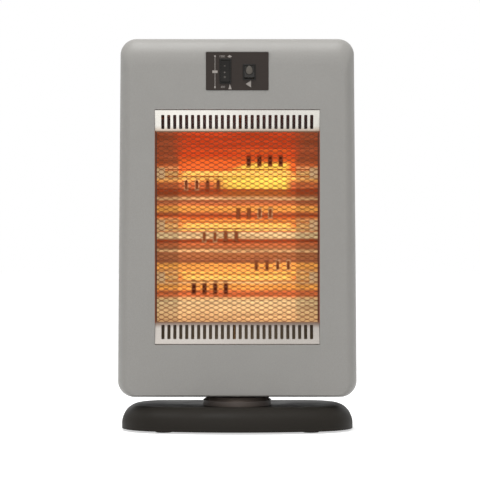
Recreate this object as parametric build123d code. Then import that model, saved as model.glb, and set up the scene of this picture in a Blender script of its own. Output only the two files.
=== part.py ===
from build123d import *
import math
import os

# Portable quartz radiant heater: a grey upright head with three tubes swings on a short neck
# above a black base with a bowed front. Millimetres, X to the right, front towards -Y, Z up, and the origin
# on the floor under the swing axis.

# Head shell
HEAD_BOTTOM = 49.0
HEAD_HEIGHT = 512.5
HEAD_WIDTH_TOP = 333.5
HEAD_WIDTH_BOTTOM = 343.0
FRONT_DEPTH = 50.0
REAR_DEPTH = 50.0
SEAM_Y = 34.0
CORNER_RADIUS = 23.0
CORNER_TIGHTEN = 0.6
SHELL_WALL = 2.5
TOP_ROLL = 36.0
SIDE_ROLL = 15.0
BOTTOM_ROLL = 4.0
FRONT_ROLL_DEPTH = 27.0
REAR_ROLL = 14.0
REAR_ROLL_DEPTH = 14.0
ROLL_STEPS = (0.0, 15.0, 30.0, 45.0, 60.0, 75.0, 90.0)

# Window with its two slotted strips
WINDOW_WIDTH = 235.5
WINDOW_HEIGHT = 335.6
WINDOW_CENTRE_Z = 293.05
LIP_DEPTH = 10.0
STRIP_RISE = 30.35
STRIP_SHEET = 0.8
STRIP_EDGE_SET = 0.7
STRIP_RETURN = 5.0
STRIP_END_GAP = 0.4
STRIP_EDGE_GAP = 1.1
SLOT_COUNT = 26
SLOT_PITCH = 8.49
SLOT_WIDTH = 4.6
SLOT_LENGTH = 20.1
SLOT_CORNER = 1.2
SLOT_MARGIN = 6.7

# Guard net
GUARD_SHEET = 1.0
GUARD_STRAND = 2.2
GUARD_HEM = 3.0
GUARD_COLUMNS = 8
GUARD_ROWS = 17
GUARD_SIDE_GAP = 1.0

# Reflector tray
TROUGH_PITCH = 75.0
TROUGH_LIFT = 1.3
TROUGH_NAMES = ("bottom", "middle", "top")
TROUGH_DEPTH = 30.0
TROUGH_FLOOR = 26.0
TROUGH_SHOULDER = 50.0
TROUGH_SHOULDER_DEPTH = 24.0
RIDGE_FLAT = 5.0
RIDGE_Y = -16.0
TRAY_SHEET = 0.8
TRAY_SIDE_GAP = 0.4
END_SHEET = 1.0
END_FLANGE = 19.0
VENT_PITCH = 15.4
VENT_WIDTH = 4.0
VENT_LENGTH = 13.0
VENTS_PER_GROUP = 4
VENT_RISE = 17.0
VENT_INNER = {"top": 16.5, "middle": 1.4, "bottom": 27.5}

# Quartz tubes
TUBE_OD = 12.0
TUBE_ID = 10.0
TUBE_Y = -8.0
TUBE_LENGTH = 224.0
COIL_OD = 7.0
COIL_LENGTH = 169.0
COIL_TAIL = 1.6
CERAMIC_OD = 16.0
CERAMIC_LENGTH = 20.0
CERAMIC_SOCKET = 8.0
CERAMIC_STUB = 2.0
CERAMIC_GAP = 0.2
CLIP_SIZE = 25.0
CLIP_SHEET = 0.8
COIL_ROUND = 1.5
STUB_SHARE = 0.7

# Heat shield and cut-out
SHIELD_Y = 24.0
SHIELD_SHEET = 0.8
SHIELD_FLANGE = 12.0
SHIELD_TAB = 14.0
SHIELD_SCREW_LENGTH = 6.0
CUTOUT_DIAMETER = 16.0
CUTOUT_HEIGHT = 7.0

# Control plate and its two switches
PLATE_WIDTH = 89.0
PLATE_HEIGHT = 54.3
PLATE_CENTRE_Z = 515.2
PLATE_SHEET = 2.0
PLATE_PROUD = 0.6
PLATE_CORNER = 1.5
PLATE_GAP = 0.2
PLATE_LEDGE = 4.0
POD_MARGIN = 1.2
POD_DEPTH = 8.0
SELECTOR_X = -17.0
SELECTOR_Z = 515.2
SELECTOR_SIZE = (17.0, 36.0)
SELECTOR_TRAVEL = 12.0
SWING_SWITCH_X = 17.1
SWING_SWITCH_Z = 513.8
SWING_SWITCH_SIZE = (18.5, 22.8)
SWING_SWITCH_TRAVEL = 16.0
BEZEL_LIP = 1.0
BEZEL_PROUD = 1.0
BEZEL_CORNER = 1.2
BEZEL_BEVEL = 0.3
SWITCH_WALL = 1.0
SWITCH_DEPTH = 26.0
SWITCH_POCKET = 9.5
ROCKER_GAP = 0.3
ROCKER_CROWN = 4.6
ROCKER_DIP = 2.4
ROCKER_KEEL = 3.6
ROCKER_PIN = 1.5
PIN_CLEARANCE = 0.05
PIN_REACH = 0.7
PAD_SIZE = (9.8, 12.6)
PAD_UPPER = 7.6
PAD_PROUD = 1.6
PAD_EDGE = 0.4
SPADE = (0.8, 6.0, 7.0)
POLE_SHARE = 0.3125

# Cover screws and bosses
BOSS_OD = 9.0
SCREW_SHANK = 3.5
SCREW_HEAD = 7.0
SCREW_HEAD_HEIGHT = 2.6
SCREW_HEAD_ROUND = 1.2
TIP_SCREW_HEAD = 5.2
SCREW_CLEARANCE = 0.35
CROSS_LENGTH = 4.0
CROSS_WIDTH = 0.9
CROSS_DEPTH = 1.0
HEAD_POCKET = 8.4
COVER_SCREW_X = 146.0
COVER_SCREW_Z = (78.0, 300.0, 528.0)
FRONT_BOSS_BACK = 14.0
COVER_SCREW_SEAT = 24.0
COVER_SCREW_LENGTH = 24.0
FRAME_SCREW_Z = (200.0, 382.0)
FRAME_SCREW_EDGE = 7.2
FRAME_SCREW_LENGTH = 6.0
SMALL_SCREW_LENGTH = 4.5
REAR_BOSS_EXTRA = 1.5

# Rear cover
REAR_VENT_ROWS = 14
REAR_VENT_PITCH = 20.0
REAR_VENT_SIZE = (64.0, 6.0)
REAR_VENT_COLUMNS = (-80.0, 0.0, 80.0)
REAR_VENT_CENTRE_Z = 290.0
HANDLE_WIDTH = 116.0
HANDLE_HEIGHT = 36.0
HANDLE_DEPTH = 24.0
HANDLE_CENTRE_Z = 494.0
HANDLE_RADIUS = 10.0

# Base
BASE_LENGTH = 332.0
BASE_DEPTH = 184.0
BASE_BOW_RADIUS = 400.0
BASE_FRONT_RADIUS = 70.0
BASE_REAR_RADIUS = 60.0
BASE_RISE = 3.0
BASE_SHOULDER_Z = 11.0
BASE_TOP = 36.0
BASE_SHOULDER = 27.0
BASE_REAR_SHOULDER = 12.0
BASE_WALL = 2.5
BASE_PLATE_SHEET = 3.0
BASE_PLATE_GAP = 0.4
BASE_PLATE_LIFT = 1.0
FOOT_DIAMETER = 24.0
FOOT_PLACES = ((-105.0, -48.0), (105.0, -48.0), (-105.0, 48.0), (105.0, 48.0))
BASE_SCREW_PLACES = ((-128.0, 0.0), (128.0, 0.0), (-66.0, -66.0), (66.0, -66.0), (-66.0, 66.0), (66.0, 66.0))
BASE_SCREW_LENGTH = 14.0
BASE_BOSS_OD = 8.0
BALLAST_MARGIN = 20.0
BALLAST_SHEET = 5.0
BALLAST_ROOM = 3.0

# Neck and swivel
NECK_TOP_DIAMETER = 86.0
NECK_BOTTOM_DIAMETER = 98.0
NECK_CONE_HEIGHT = 5.0
NECK_ROUND = 1.2
NECK_GAP = 0.8
NECK_BORE = 80.0
NECK_DECK = 2.6
NECK_SPIGOT = 5.0
SPIGOT_WALL = 2.0
SPIGOT_GAP = 0.1
NECK_SCREW_RADIUS = 43.8
NECK_SCREW_LENGTH = 10.0
SHAFT_OD = 30.0
SHAFT_ID = 22.0
SHAFT_FLANGE = 46.0
SHAFT_FLANGE_SHEET = 3.0
SHAFT_SCREW_RADIUS = 19.0
SHAFT_RUNNING_GAP = 0.05
SHAFT_HOLE_GAP = 0.4
BUSH_WALL = 2.0
BUSH_LENGTH = 8.0
BUSH_FLANGE = 44.0
BUSH_THRUST_GAP = 0.1
HUB_OD = 40.0
SHAFT_END_Z = 18.5
NUT_HEIGHT = 5.0
NUT_ACROSS = 40.0
WASHER_SHEET = 2.0
WASHER_GAP = 0.3
SWING_LIMIT = 35.0

# Swing drive
GEAR_MODULE = 1.5
SECTOR_TEETH = 60
PINION_TEETH = 15
PRESSURE_ANGLE = 20.0
TOOTH_ADDENDUM = 0.8
TOOTH_DEDENDUM = 1.05
TOOTH_BACKLASH = 0.3
SECTOR_REACH = 8
GEAR_FACE = 5.0
GEAR_Z = 24.0
MOTOR_DIAMETER = 50.0
MOTOR_HEIGHT = 15.0
MOTOR_SHAFT = 7.0
MOTOR_SHAFT_DEPTH = 11.0
MOTOR_EAR = 9.0
MOTOR_EAR_RADIUS = 30.0
MOTOR_EAR_SHEET = 2.0

# Tip-over switch
TIP_X = -70.0
TIP_SIZE = (30.0, 18.0, 20.0)
TIP_EAR = 6.0
MOTOR_PLUG = (16.0, 7.0, 6.0)
PLUNGER_DIAMETER = 8.0
PLUNGER_GAP = 0.3
PLUNGER_COLLAR = 12.0
PLUNGER_COLLAR_HEIGHT = 2.0
PLUNGER_TRAVEL = 4.0
SPRING_WIRE = 0.9
SPRING_TURNS = 5

# Cord inlet
GROMMET_BORE = 7.2
GROMMET_OD = 11.0
GROMMET_FLANGE = 15.5
GROMMET_FLANGE_SHEET = 1.5
GROMMET_LENGTH = 10.0
GROMMET_FACE_SET = 0.1
GROMMET_Z = 15.5
GROMMET_GAP = 0.1

# Inside leads
LEAD_DIAMETER = 3.4
LEAD_OFFSET = 2.6
LINK_BOW = 7.0
LEAD_LIFT = 0.3
BASE_LEAD_SPREAD = 4.0
SWIVEL_LEAD = 5.0
BLOCK_SIZE = (34.0, 18.0, 16.0)
BASE_BLOCK_SET = 44.0

# Heights and places that follow from the sizes above
HEAD_TOP = HEAD_BOTTOM + HEAD_HEIGHT
HEAD_FLOOR = HEAD_BOTTOM + SHELL_WALL
FRONT_FACE = -FRONT_DEPTH
FRONT_INSIDE = FRONT_FACE + SHELL_WALL
REAR_INSIDE = REAR_DEPTH - SHELL_WALL
WINDOW_TOP = WINDOW_CENTRE_Z + WINDOW_HEIGHT / 2
WINDOW_BOTTOM = WINDOW_CENTRE_Z - WINDOW_HEIGHT / 2
GUARD_HEIGHT = WINDOW_HEIGHT - 2 * STRIP_RISE
GUARD_WIDTH = WINDOW_WIDTH - 2 * GUARD_SIDE_GAP
LIP_BACK = FRONT_FACE + LIP_DEPTH
GUARD_BACK = LIP_BACK - 0.2
GUARD_FRONT = GUARD_BACK - GUARD_SHEET
END_INNER_X = WINDOW_WIDTH / 2 - END_SHEET - 0.2
END_OUTER_X = END_INNER_X + END_SHEET
TROUGH_Z = [WINDOW_CENTRE_Z + TROUGH_LIFT + step * TROUGH_PITCH for step in (-1, 0, 1)]
SELECTOR = (SELECTOR_X, SELECTOR_Z, SELECTOR_SIZE)
SWING_SWITCH = (SWING_SWITCH_X, SWING_SWITCH_Z, SWING_SWITCH_SIZE)
PLATE_FRONT = FRONT_FACE - PLATE_PROUD
PLATE_BACK = PLATE_FRONT + PLATE_SHEET
PIVOT_Y = PLATE_FRONT + 0.6
BASE_PLATE_Z = BASE_RISE + BASE_PLATE_LIFT
BASE_FLOOR = BASE_PLATE_Z + BASE_PLATE_SHEET
BASE_CEILING = BASE_TOP - BASE_WALL
NECK_TOP = HEAD_BOTTOM - NECK_GAP
BUSH_BOTTOM = NECK_TOP - BUSH_LENGTH
HUB_TOP = BUSH_BOTTOM - WASHER_GAP - WASHER_SHEET
GEAR_CENTRES = GEAR_MODULE * (SECTOR_TEETH + PINION_TEETH) / 2


def box_between(low, high):
    """A box from its lowest corner to its highest."""
    size = [b - a for a, b in zip(low, high)]
    centre = [(a + b) / 2 for a, b in zip(low, high)]
    return Pos(*centre) * Box(*size)


def rod(x, y, z, diameter, length):
    """An upright cylinder standing on z."""
    return Pos(x, y, z + length / 2) * Cylinder(diameter / 2, length)


def rod_y(x, y, z, diameter, length):
    """A cylinder that starts at y and runs towards +Y."""
    return Pos(x, y + length / 2, z) * Rot(90, 0, 0) * Cylinder(diameter / 2, length)


def rod_x(x, y, z, diameter, length):
    """A cylinder that starts at x and runs towards +X."""
    return Pos(x + length / 2, y, z) * Rot(0, 90, 0) * Cylinder(diameter / 2, length)


def front_plane(y):
    """The plane at depth y, facing the front, with its own Y axis pointing up."""
    return Plane.XZ.offset(-y)


def screw_y(x, seat, z, length):
    """A pan-head screw driven from the back towards the front, its head seated at y = seat."""
    shank = rod_y(x, seat - length, z, SCREW_SHANK, length)
    head = rod_y(x, seat, z, SCREW_HEAD, SCREW_HEAD_HEIGHT)
    head = fillet(head.edges().sort_by(Axis.Y)[-1], SCREW_HEAD_ROUND)
    cross = Box(CROSS_LENGTH, 2 * CROSS_DEPTH, CROSS_WIDTH) + Box(CROSS_WIDTH, 2 * CROSS_DEPTH, CROSS_LENGTH)
    cross = Pos(x, seat + SCREW_HEAD_HEIGHT, z) * cross
    return shank + head - cross


def screw_z(x, y, seat, length):
    """A pan-head screw driven upwards, its head seated under z = seat."""
    shank = rod(x, y, seat, SCREW_SHANK, length)
    head = rod(x, y, seat - SCREW_HEAD_HEIGHT, SCREW_HEAD, SCREW_HEAD_HEIGHT)
    head = fillet(head.edges().sort_by(Axis.Z)[0], SCREW_HEAD_ROUND)
    cross = Box(CROSS_LENGTH, CROSS_WIDTH, 2 * CROSS_DEPTH) + Box(CROSS_WIDTH, CROSS_LENGTH, 2 * CROSS_DEPTH)
    cross = Pos(x, y, seat - SCREW_HEAD_HEIGHT) * cross
    return shank + head - cross


def head_outline(side, top, bottom, radius):
    """The head's rounded outline, drawn in by the given amounts."""
    low = HEAD_BOTTOM + bottom
    high = HEAD_TOP - top
    half_low = HEAD_WIDTH_BOTTOM / 2 - side
    half_high = HEAD_WIDTH_TOP / 2 - side
    corners = [(-half_low, low), (half_low, low), (half_high, high), (-half_high, high)]
    face = make_face(Polyline(*corners, close=True))
    return fillet(face.vertices(), radius)


def rolled_tray(start, face_y, roll_depth, rolls, wall):
    """A solid whose outline rolls in towards its face, wall millimetres inside the outer skin."""
    side, top, bottom = rolls
    away = 1 if face_y > start else -1
    inner_face = face_y - away * wall
    roll_start = face_y - away * roll_depth
    sections = []
    for angle in ROLL_STEPS:
        swept = math.radians(angle)
        y = roll_start + (inner_face - roll_start) * math.sin(swept)
        share = 1 - math.cos(swept)
        radius = CORNER_RADIUS - wall - share * side * CORNER_TIGHTEN
        outline = head_outline(side * share + wall, top * share + wall, bottom * share + wall, radius)
        sections.append(front_plane(y) * outline)
    full = front_plane(max(start, roll_start)) * head_outline(wall, wall, wall, CORNER_RADIUS - wall)
    straight = extrude(full, abs(start - roll_start))
    return straight + loft(sections)


def window_block(width, height, front, back):
    """A block filling the window at the given size, from front to back."""
    return box_between(
        (-width / 2, front, WINDOW_CENTRE_Z - height / 2),
        (width / 2, back, WINDOW_CENTRE_Z + height / 2),
    )


def plate_block(margin, front, back, radius):
    """A rounded block of the control plate's outline, grown by margin."""
    outline = RectangleRounded(PLATE_WIDTH + 2 * margin, PLATE_HEIGHT + 2 * margin, radius)
    return extrude(front_plane(back) * Pos(0, PLATE_CENTRE_Z) * outline, back - front)


def cover_screw_places():
    """Where the screws that join the two covers stand, as x and z."""
    return [(side * COVER_SCREW_X, z) for side in (-1, 1) for z in COVER_SCREW_Z]


def frame_screw_places():
    """Where the screws that hold the end plates stand, as x and z."""
    x = END_OUTER_X + END_FLANGE - FRAME_SCREW_EDGE
    return [(side * x, z) for side in (-1, 1) for z in FRAME_SCREW_Z]


def front_cover():
    """Front shell with its window lip, raised plate seat and screw bosses."""
    rolls = (SIDE_ROLL, TOP_ROLL, BOTTOM_ROLL)
    hollow = rolled_tray(SEAM_Y, FRONT_FACE, FRONT_ROLL_DEPTH, rolls, SHELL_WALL)
    for x, z in cover_screw_places():
        hollow -= rod_y(x, FRONT_FACE, z, BOSS_OD, FRONT_BOSS_BACK - FRONT_FACE)
    for x, z in frame_screw_places():
        hollow -= rod_y(x, FRONT_FACE, z, BOSS_OD, LIP_DEPTH)
    shell = rolled_tray(SEAM_Y, FRONT_FACE, FRONT_ROLL_DEPTH, rolls, 0.0) - hollow
    lip_width = WINDOW_WIDTH + 2 * SHELL_WALL
    lip_height = WINDOW_HEIGHT + 2 * SHELL_WALL
    shell += window_block(lip_width, lip_height, FRONT_INSIDE - 0.5, LIP_BACK)
    shell += plate_block(POD_MARGIN, FRONT_FACE, FRONT_FACE + POD_DEPTH, PLATE_CORNER + POD_MARGIN)
    for x, z in cover_screw_places():
        shell -= rod_y(x, COVER_SCREW_SEAT - COVER_SCREW_LENGTH, z, SCREW_SHANK, COVER_SCREW_LENGTH)
    for x, z in frame_screw_places():
        shell -= rod_y(x, FRONT_INSIDE, z, SCREW_SHANK, LIP_DEPTH)
    shell -= window_block(WINDOW_WIDTH, WINDOW_HEIGHT, FRONT_FACE - 1, LIP_BACK + 1)
    shell -= plate_block(PLATE_GAP, FRONT_FACE - 1, PLATE_BACK, PLATE_CORNER)
    shell -= plate_block(-PLATE_LEDGE, FRONT_FACE - 1, FRONT_FACE + POD_DEPTH + 1, PLATE_CORNER)
    shell -= rod(0, 0, HEAD_BOTTOM - 1, SHAFT_OD + 2 * SHAFT_HOLE_GAP, SHELL_WALL + 2)
    for x, y in shaft_screw_places():
        shell -= rod(x, y, HEAD_BOTTOM - 1, SCREW_SHANK, SHELL_WALL + 2)
    return shell


def rear_cover():
    """Rear shell with vents, a carry recess and deep screw wells."""
    rolls = (REAR_ROLL, REAR_ROLL, BOTTOM_ROLL)
    shell = rolled_tray(SEAM_Y, REAR_DEPTH, REAR_ROLL_DEPTH, rolls, 0.0)
    shell -= rolled_tray(SEAM_Y, REAR_DEPTH, REAR_ROLL_DEPTH, rolls, SHELL_WALL)
    for x, z in cover_screw_places():
        well = rod_y(x, COVER_SCREW_SEAT, z, HEAD_POCKET, REAR_DEPTH)
        boss = rod_y(x, FRONT_BOSS_BACK, z, BOSS_OD + REAR_BOSS_EXTRA, REAR_INSIDE - FRONT_BOSS_BACK + 0.5)
        hole = rod_y(x, FRONT_BOSS_BACK - 1, z, SCREW_SHANK + 2 * SCREW_CLEARANCE, REAR_DEPTH)
        shell -= well
        shell += boss - hole - well
    shell += handle_block(SHELL_WALL, REAR_INSIDE + 0.5)
    shell -= handle_block(0.0, REAR_DEPTH + 1)
    width, height = REAR_VENT_SIZE
    slot = extrude(front_plane(REAR_DEPTH + 1) * SlotOverall(width, height), SHELL_WALL + 3)
    for x in REAR_VENT_COLUMNS:
        for row in range(REAR_VENT_ROWS):
            z = REAR_VENT_CENTRE_Z + (row - (REAR_VENT_ROWS - 1) / 2) * REAR_VENT_PITCH
            shell -= Pos(x, 0, z) * slot
    return shell


def handle_block(margin, back):
    """The carry recess in the rear cover, grown by margin, out to depth back."""
    outline = RectangleRounded(HANDLE_WIDTH + 2 * margin, HANDLE_HEIGHT + 2 * margin, HANDLE_RADIUS + margin)
    depth = back - (REAR_DEPTH - HANDLE_DEPTH - margin)
    return extrude(front_plane(back) * Pos(0, HANDLE_CENTRE_Z) * outline, depth)


def cover_screws():
    """Six screws from the back, as one group."""
    return [screw_y(x, COVER_SCREW_SEAT, z, COVER_SCREW_LENGTH) for x, z in cover_screw_places()]


def folded_sheet(points, sheet, width):
    """A sheet folded along points of (y, z), its second face to the left, centred on X = 0."""
    path = Polyline(*[(y, z) for y, z in points])
    outline = Wire(path.edges()).offset_2d(sheet, kind=Kind.INTERSECTION, side=Side.LEFT)
    face = Plane.YZ.offset(-width / 2) * make_face(outline)
    return extrude(face, width)


def louvre_strip(direction):
    """A slotted strip that slants from the window's edge back to the guard, +1 for the top one."""
    edge = WINDOW_CENTRE_Z + direction * (WINDOW_HEIGHT / 2 - STRIP_EDGE_GAP)
    inner = WINDOW_CENTRE_Z + direction * GUARD_HEIGHT / 2
    points = [
        (FRONT_FACE + STRIP_EDGE_SET, edge),
        (GUARD_FRONT, inner),
        (GUARD_BACK + STRIP_RETURN, inner),
    ]
    if direction < 0:
        points.reverse()
    strip = folded_sheet(points, STRIP_SHEET, WINDOW_WIDTH - 2 * STRIP_END_GAP)
    centre = edge - direction * (SLOT_MARGIN + SLOT_LENGTH / 2)
    slot = front_plane(LIP_BACK) * Pos(0, centre) * RectangleRounded(SLOT_WIDTH, SLOT_LENGTH, SLOT_CORNER)
    cutter = extrude(slot, LIP_DEPTH + 1)
    for index in range(SLOT_COUNT):
        strip -= Pos((index - (SLOT_COUNT - 1) / 2) * SLOT_PITCH, 0, 0) * cutter
    return strip


def guard():
    """Net of pierced sheet metal with a plain hem all round, cut as one holed face."""
    field_width = GUARD_WIDTH - 2 * GUARD_HEM
    field_height = GUARD_HEIGHT - 2 * GUARD_HEM
    pitch_x = field_width / (GUARD_COLUMNS + 0.5)
    pitch_z = field_height / (GUARD_ROWS + 0.5)
    half_x = (pitch_x - GUARD_STRAND * 2) / 2
    half_z = (pitch_z - GUARD_STRAND) / 2
    diamond = make_face(Polyline((half_x, 0), (0, half_z), (-half_x, 0), (0, -half_z), close=True))
    places = []
    for row in range(GUARD_ROWS * 2):
        shift = 0.5 * (row % 2)
        for column in range(GUARD_COLUMNS):
            x = -field_width / 2 + (column + 0.5 + shift) * pitch_x
            z = -field_height / 2 + (row / 2 + 0.5) * pitch_z
            places.append((x, z))
    sheet = Rectangle(GUARD_WIDTH, GUARD_HEIGHT)
    outline = Face(sheet.face().outer_wire(), [(Pos(x, z) * diamond).face().outer_wire() for x, z in places])
    return extrude(front_plane(GUARD_BACK) * Pos(0, WINDOW_CENTRE_Z) * outline, GUARD_SHEET)


def tray_profile():
    """Fold line of the reflector from bottom to top, as (y, z): slanted wall, three troughs, wall."""
    edge = GUARD_BACK + STRIP_RETURN
    points = [(edge, WINDOW_CENTRE_Z - GUARD_HEIGHT / 2 + STRIP_SHEET)]
    for centre in TROUGH_Z:
        points += [
            (RIDGE_Y, centre - (TROUGH_PITCH - RIDGE_FLAT) / 2),
            (RIDGE_Y + TROUGH_SHOULDER_DEPTH, centre - TROUGH_SHOULDER / 2),
            (RIDGE_Y + TROUGH_DEPTH, centre - TROUGH_FLOOR / 2),
            (RIDGE_Y + TROUGH_DEPTH, centre + TROUGH_FLOOR / 2),
            (RIDGE_Y + TROUGH_SHOULDER_DEPTH, centre + TROUGH_SHOULDER / 2),
            (RIDGE_Y, centre + (TROUGH_PITCH - RIDGE_FLAT) / 2),
        ]
    points.append((edge, WINDOW_CENTRE_Z + GUARD_HEIGHT / 2 - STRIP_SHEET))
    return points


def reflector():
    """Polished tray folded into three troughs, with groups of short slots beside each tube."""
    tray = folded_sheet(tray_profile(), -TRAY_SHEET, 2 * (END_INNER_X - TRAY_SIDE_GAP))
    slot = front_plane(0) * Rot(0, 0, 90) * SlotOverall(VENT_LENGTH, VENT_WIDTH)
    cutter = extrude(slot, TROUGH_DEPTH * 2, both=True)
    for name, centre in zip(TROUGH_NAMES, TROUGH_Z):
        mirror_name = TROUGH_NAMES[2 - TROUGH_NAMES.index(name)]
        for index in range(VENTS_PER_GROUP):
            upper = VENT_INNER[name] + index * VENT_PITCH
            lower = -VENT_INNER[mirror_name] - index * VENT_PITCH
            tray -= Pos(upper, 0, centre + VENT_RISE) * cutter
            tray -= Pos(lower, 0, centre - VENT_RISE) * cutter
    return tray


def end_plate(side):
    """Side wall of the tray with the tube holes and a flange that screws to the front cover."""
    low = WINDOW_CENTRE_Z - GUARD_HEIGHT / 2
    high = WINDOW_CENTRE_Z + GUARD_HEIGHT / 2
    web = box_between((END_INNER_X, LIP_BACK, low), (END_OUTER_X, SHIELD_Y, high))
    reach = END_OUTER_X + END_FLANGE
    flange = box_between((END_INNER_X, LIP_BACK, low), (reach, LIP_BACK + END_SHEET, high))
    tab = box_between((END_INNER_X - SHIELD_TAB, SHIELD_Y - END_SHEET, low), (END_INNER_X, SHIELD_Y, high))
    plate = web + flange + tab
    for z in TROUGH_Z:
        plate -= rod_x(END_INNER_X - 1, TUBE_Y, z, CERAMIC_OD + 2 * CERAMIC_GAP, END_SHEET + 2)
    for x, z in frame_screw_places():
        if x > 0:
            plate -= rod_y(x, LIP_BACK - 1, z, SCREW_SHANK + 2 * SCREW_CLEARANCE, END_SHEET + 2)
    for x, z in shield_screw_places():
        if x > 0:
            plate -= rod_y(x, SHIELD_Y - 2 * END_SHEET, z, SCREW_SHANK, 3 * END_SHEET)
    if side < 0:
        plate = mirror(plate, about=Plane.YZ)
    return plate


def frame_screws():
    """Four screws that hold the end plates to the front cover."""
    return [screw_y(x, LIP_BACK + END_SHEET, z, FRAME_SCREW_LENGTH) for x, z in frame_screw_places()]


def quartz_tube(z):
    """Clear tube, open at both ends."""
    start = -TUBE_LENGTH / 2
    tube = rod_x(start, TUBE_Y, z, TUBE_OD, TUBE_LENGTH)
    return tube - rod_x(start - 1, TUBE_Y, z, TUBE_ID, TUBE_LENGTH + 2)


def heating_coil(z):
    """The wound element as its outer form, with straight tails into the ceramic ends."""
    coil = rod_x(-COIL_LENGTH / 2, TUBE_Y, z, COIL_OD, COIL_LENGTH)
    coil = fillet(coil.edges(), COIL_ROUND)
    return coil + rod_x(-TUBE_LENGTH / 2, TUBE_Y, z, COIL_TAIL, TUBE_LENGTH)


def ceramic_ends():
    """Six stepped ceramic ends, one on each end of each tube."""
    ends = []
    for z in TROUGH_Z:
        start = TUBE_LENGTH / 2 - CERAMIC_SOCKET
        end = rod_x(start, TUBE_Y, z, CERAMIC_OD, CERAMIC_LENGTH)
        end -= rod_x(start - 1, TUBE_Y, z, TUBE_OD + 2 * CERAMIC_GAP, CERAMIC_SOCKET + 1)
        end += rod_x(start + CERAMIC_LENGTH, TUBE_Y, z, CERAMIC_OD * STUB_SHARE, CERAMIC_STUB)
        ends.append(end)
        ends.append(mirror(end, about=Plane.YZ))
    return ends


def tube_clips():
    """Six spring plates that grip the ceramic ends outside the end plates."""
    clips = []
    for z in TROUGH_Z:
        plate = box_between(
            (END_OUTER_X, TUBE_Y - CLIP_SIZE / 2, z - CLIP_SIZE / 2),
            (END_OUTER_X + CLIP_SHEET, TUBE_Y + CLIP_SIZE / 2, z + CLIP_SIZE / 2),
        )
        plate -= rod_x(END_OUTER_X - 1, TUBE_Y, z, CERAMIC_OD, CLIP_SHEET + 2)
        clips.append(plate)
        clips.append(mirror(plate, about=Plane.YZ))
    return clips


def shield_screw_places():
    """Where the screws that hold the heat shield to the end plates stand, as x and z."""
    x = END_INNER_X - SHIELD_TAB / 2
    reach = GUARD_HEIGHT / 2 - SHIELD_TAB
    return [(side * x, WINDOW_CENTRE_Z + end * reach) for side in (-1, 1) for end in (-1, 1)]


def heat_shield():
    """Flat plate behind the reflector with flanges turned to the rear along its long edges."""
    half = GUARD_HEIGHT / 2
    low = WINDOW_CENTRE_Z - half
    high = WINDOW_CENTRE_Z + half
    back = SHIELD_Y + SHIELD_SHEET
    rim = SHIELD_Y + SHIELD_FLANGE
    plate = box_between((-END_OUTER_X, SHIELD_Y, low), (END_OUTER_X, back, high))
    plate += box_between((-END_OUTER_X, SHIELD_Y, high - SHIELD_SHEET), (END_OUTER_X, rim, high))
    plate += box_between((-END_OUTER_X, SHIELD_Y, low), (END_OUTER_X, rim, low + SHIELD_SHEET))
    for x, z in shield_screw_places():
        plate -= rod_y(x, SHIELD_Y - 1, z, SCREW_SHANK + 2 * SCREW_CLEARANCE, SHIELD_SHEET + 2)
    return plate


def shield_screws():
    """Four short screws that hold the heat shield."""
    seat = SHIELD_Y + SHIELD_SHEET
    return [screw_y(x, seat, z, SHIELD_SCREW_LENGTH) for x, z in shield_screw_places()]


def spade(x, y, z):
    """A flat terminal that stands out of y towards +Y."""
    thick, wide, long = SPADE
    return box_between((x - thick / 2, y, z - wide / 2), (x + thick / 2, y + long, z + wide / 2))


def thermal_cutout():
    """Round over-temperature cut-out on the heat shield, with its flange and two terminals."""
    seat = SHIELD_Y + SHIELD_SHEET
    z = TROUGH_Z[-1]
    puck = rod_y(0, seat, z, CUTOUT_DIAMETER, CUTOUT_HEIGHT)
    puck += box_between((-CUTOUT_DIAMETER, seat, z - 5), (CUTOUT_DIAMETER, seat + 1, z + 5))
    for side in (-1, 1):
        puck += spade(side * CUTOUT_DIAMETER / 4, seat + CUTOUT_HEIGHT - 0.5, z)
    return puck


def control_plate():
    """Dark plate that carries both switches."""
    plate = plate_block(0.0, PLATE_FRONT, PLATE_BACK, PLATE_CORNER)
    shrink = 2 * (BEZEL_LIP - PLATE_GAP)
    for x, z, size in (SELECTOR, SWING_SWITCH):
        opening = Rectangle(size[0] - shrink, size[1] - shrink)
        plate -= extrude(front_plane(PLATE_BACK + 1) * Pos(x, z) * opening, PLATE_SHEET + 2)
    return plate


def switch_body(place):
    """Snap-in switch housing: bezel on the plate, body behind it and the rocker's pocket."""
    x, z, size = place
    width, height = size
    outline = RectangleRounded(width, height, BEZEL_CORNER)
    lip = extrude(front_plane(PLATE_FRONT) * Pos(x, z) * outline, BEZEL_PROUD)
    lip = chamfer(lip.faces().sort_by(Axis.Y)[0].edges(), BEZEL_BEVEL)
    body_width = width - 2 * BEZEL_LIP
    body_height = height - 2 * BEZEL_LIP
    body = box_between(
        (x - body_width / 2, PLATE_FRONT, z - body_height / 2),
        (x + body_width / 2, PLATE_FRONT + SWITCH_DEPTH, z + body_height / 2),
    )
    half_x, half_z = pocket_half(size)
    pocket = box_between(
        (x - half_x, PLATE_FRONT - 2 * BEZEL_PROUD, z - half_z),
        (x + half_x, PLATE_FRONT + SWITCH_POCKET, z + half_z),
    )
    housing = lip + body - pocket
    pin = 2 * (ROCKER_PIN + PIN_CLEARANCE)
    housing -= rod_x(x - half_x - SWITCH_WALL, PIVOT_Y, z, pin, 2 * (half_x + SWITCH_WALL))
    for step in (-1, 0, 1):
        housing += spade(x, PLATE_FRONT + SWITCH_DEPTH - 0.5, z + step * body_height * POLE_SHARE)
    return housing


def pocket_half(size):
    """Half width and half height of the pocket that the rocker moves in."""
    return size[0] / 2 - BEZEL_LIP - SWITCH_WALL, size[1] / 2 - BEZEL_LIP - SWITCH_WALL


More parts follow.
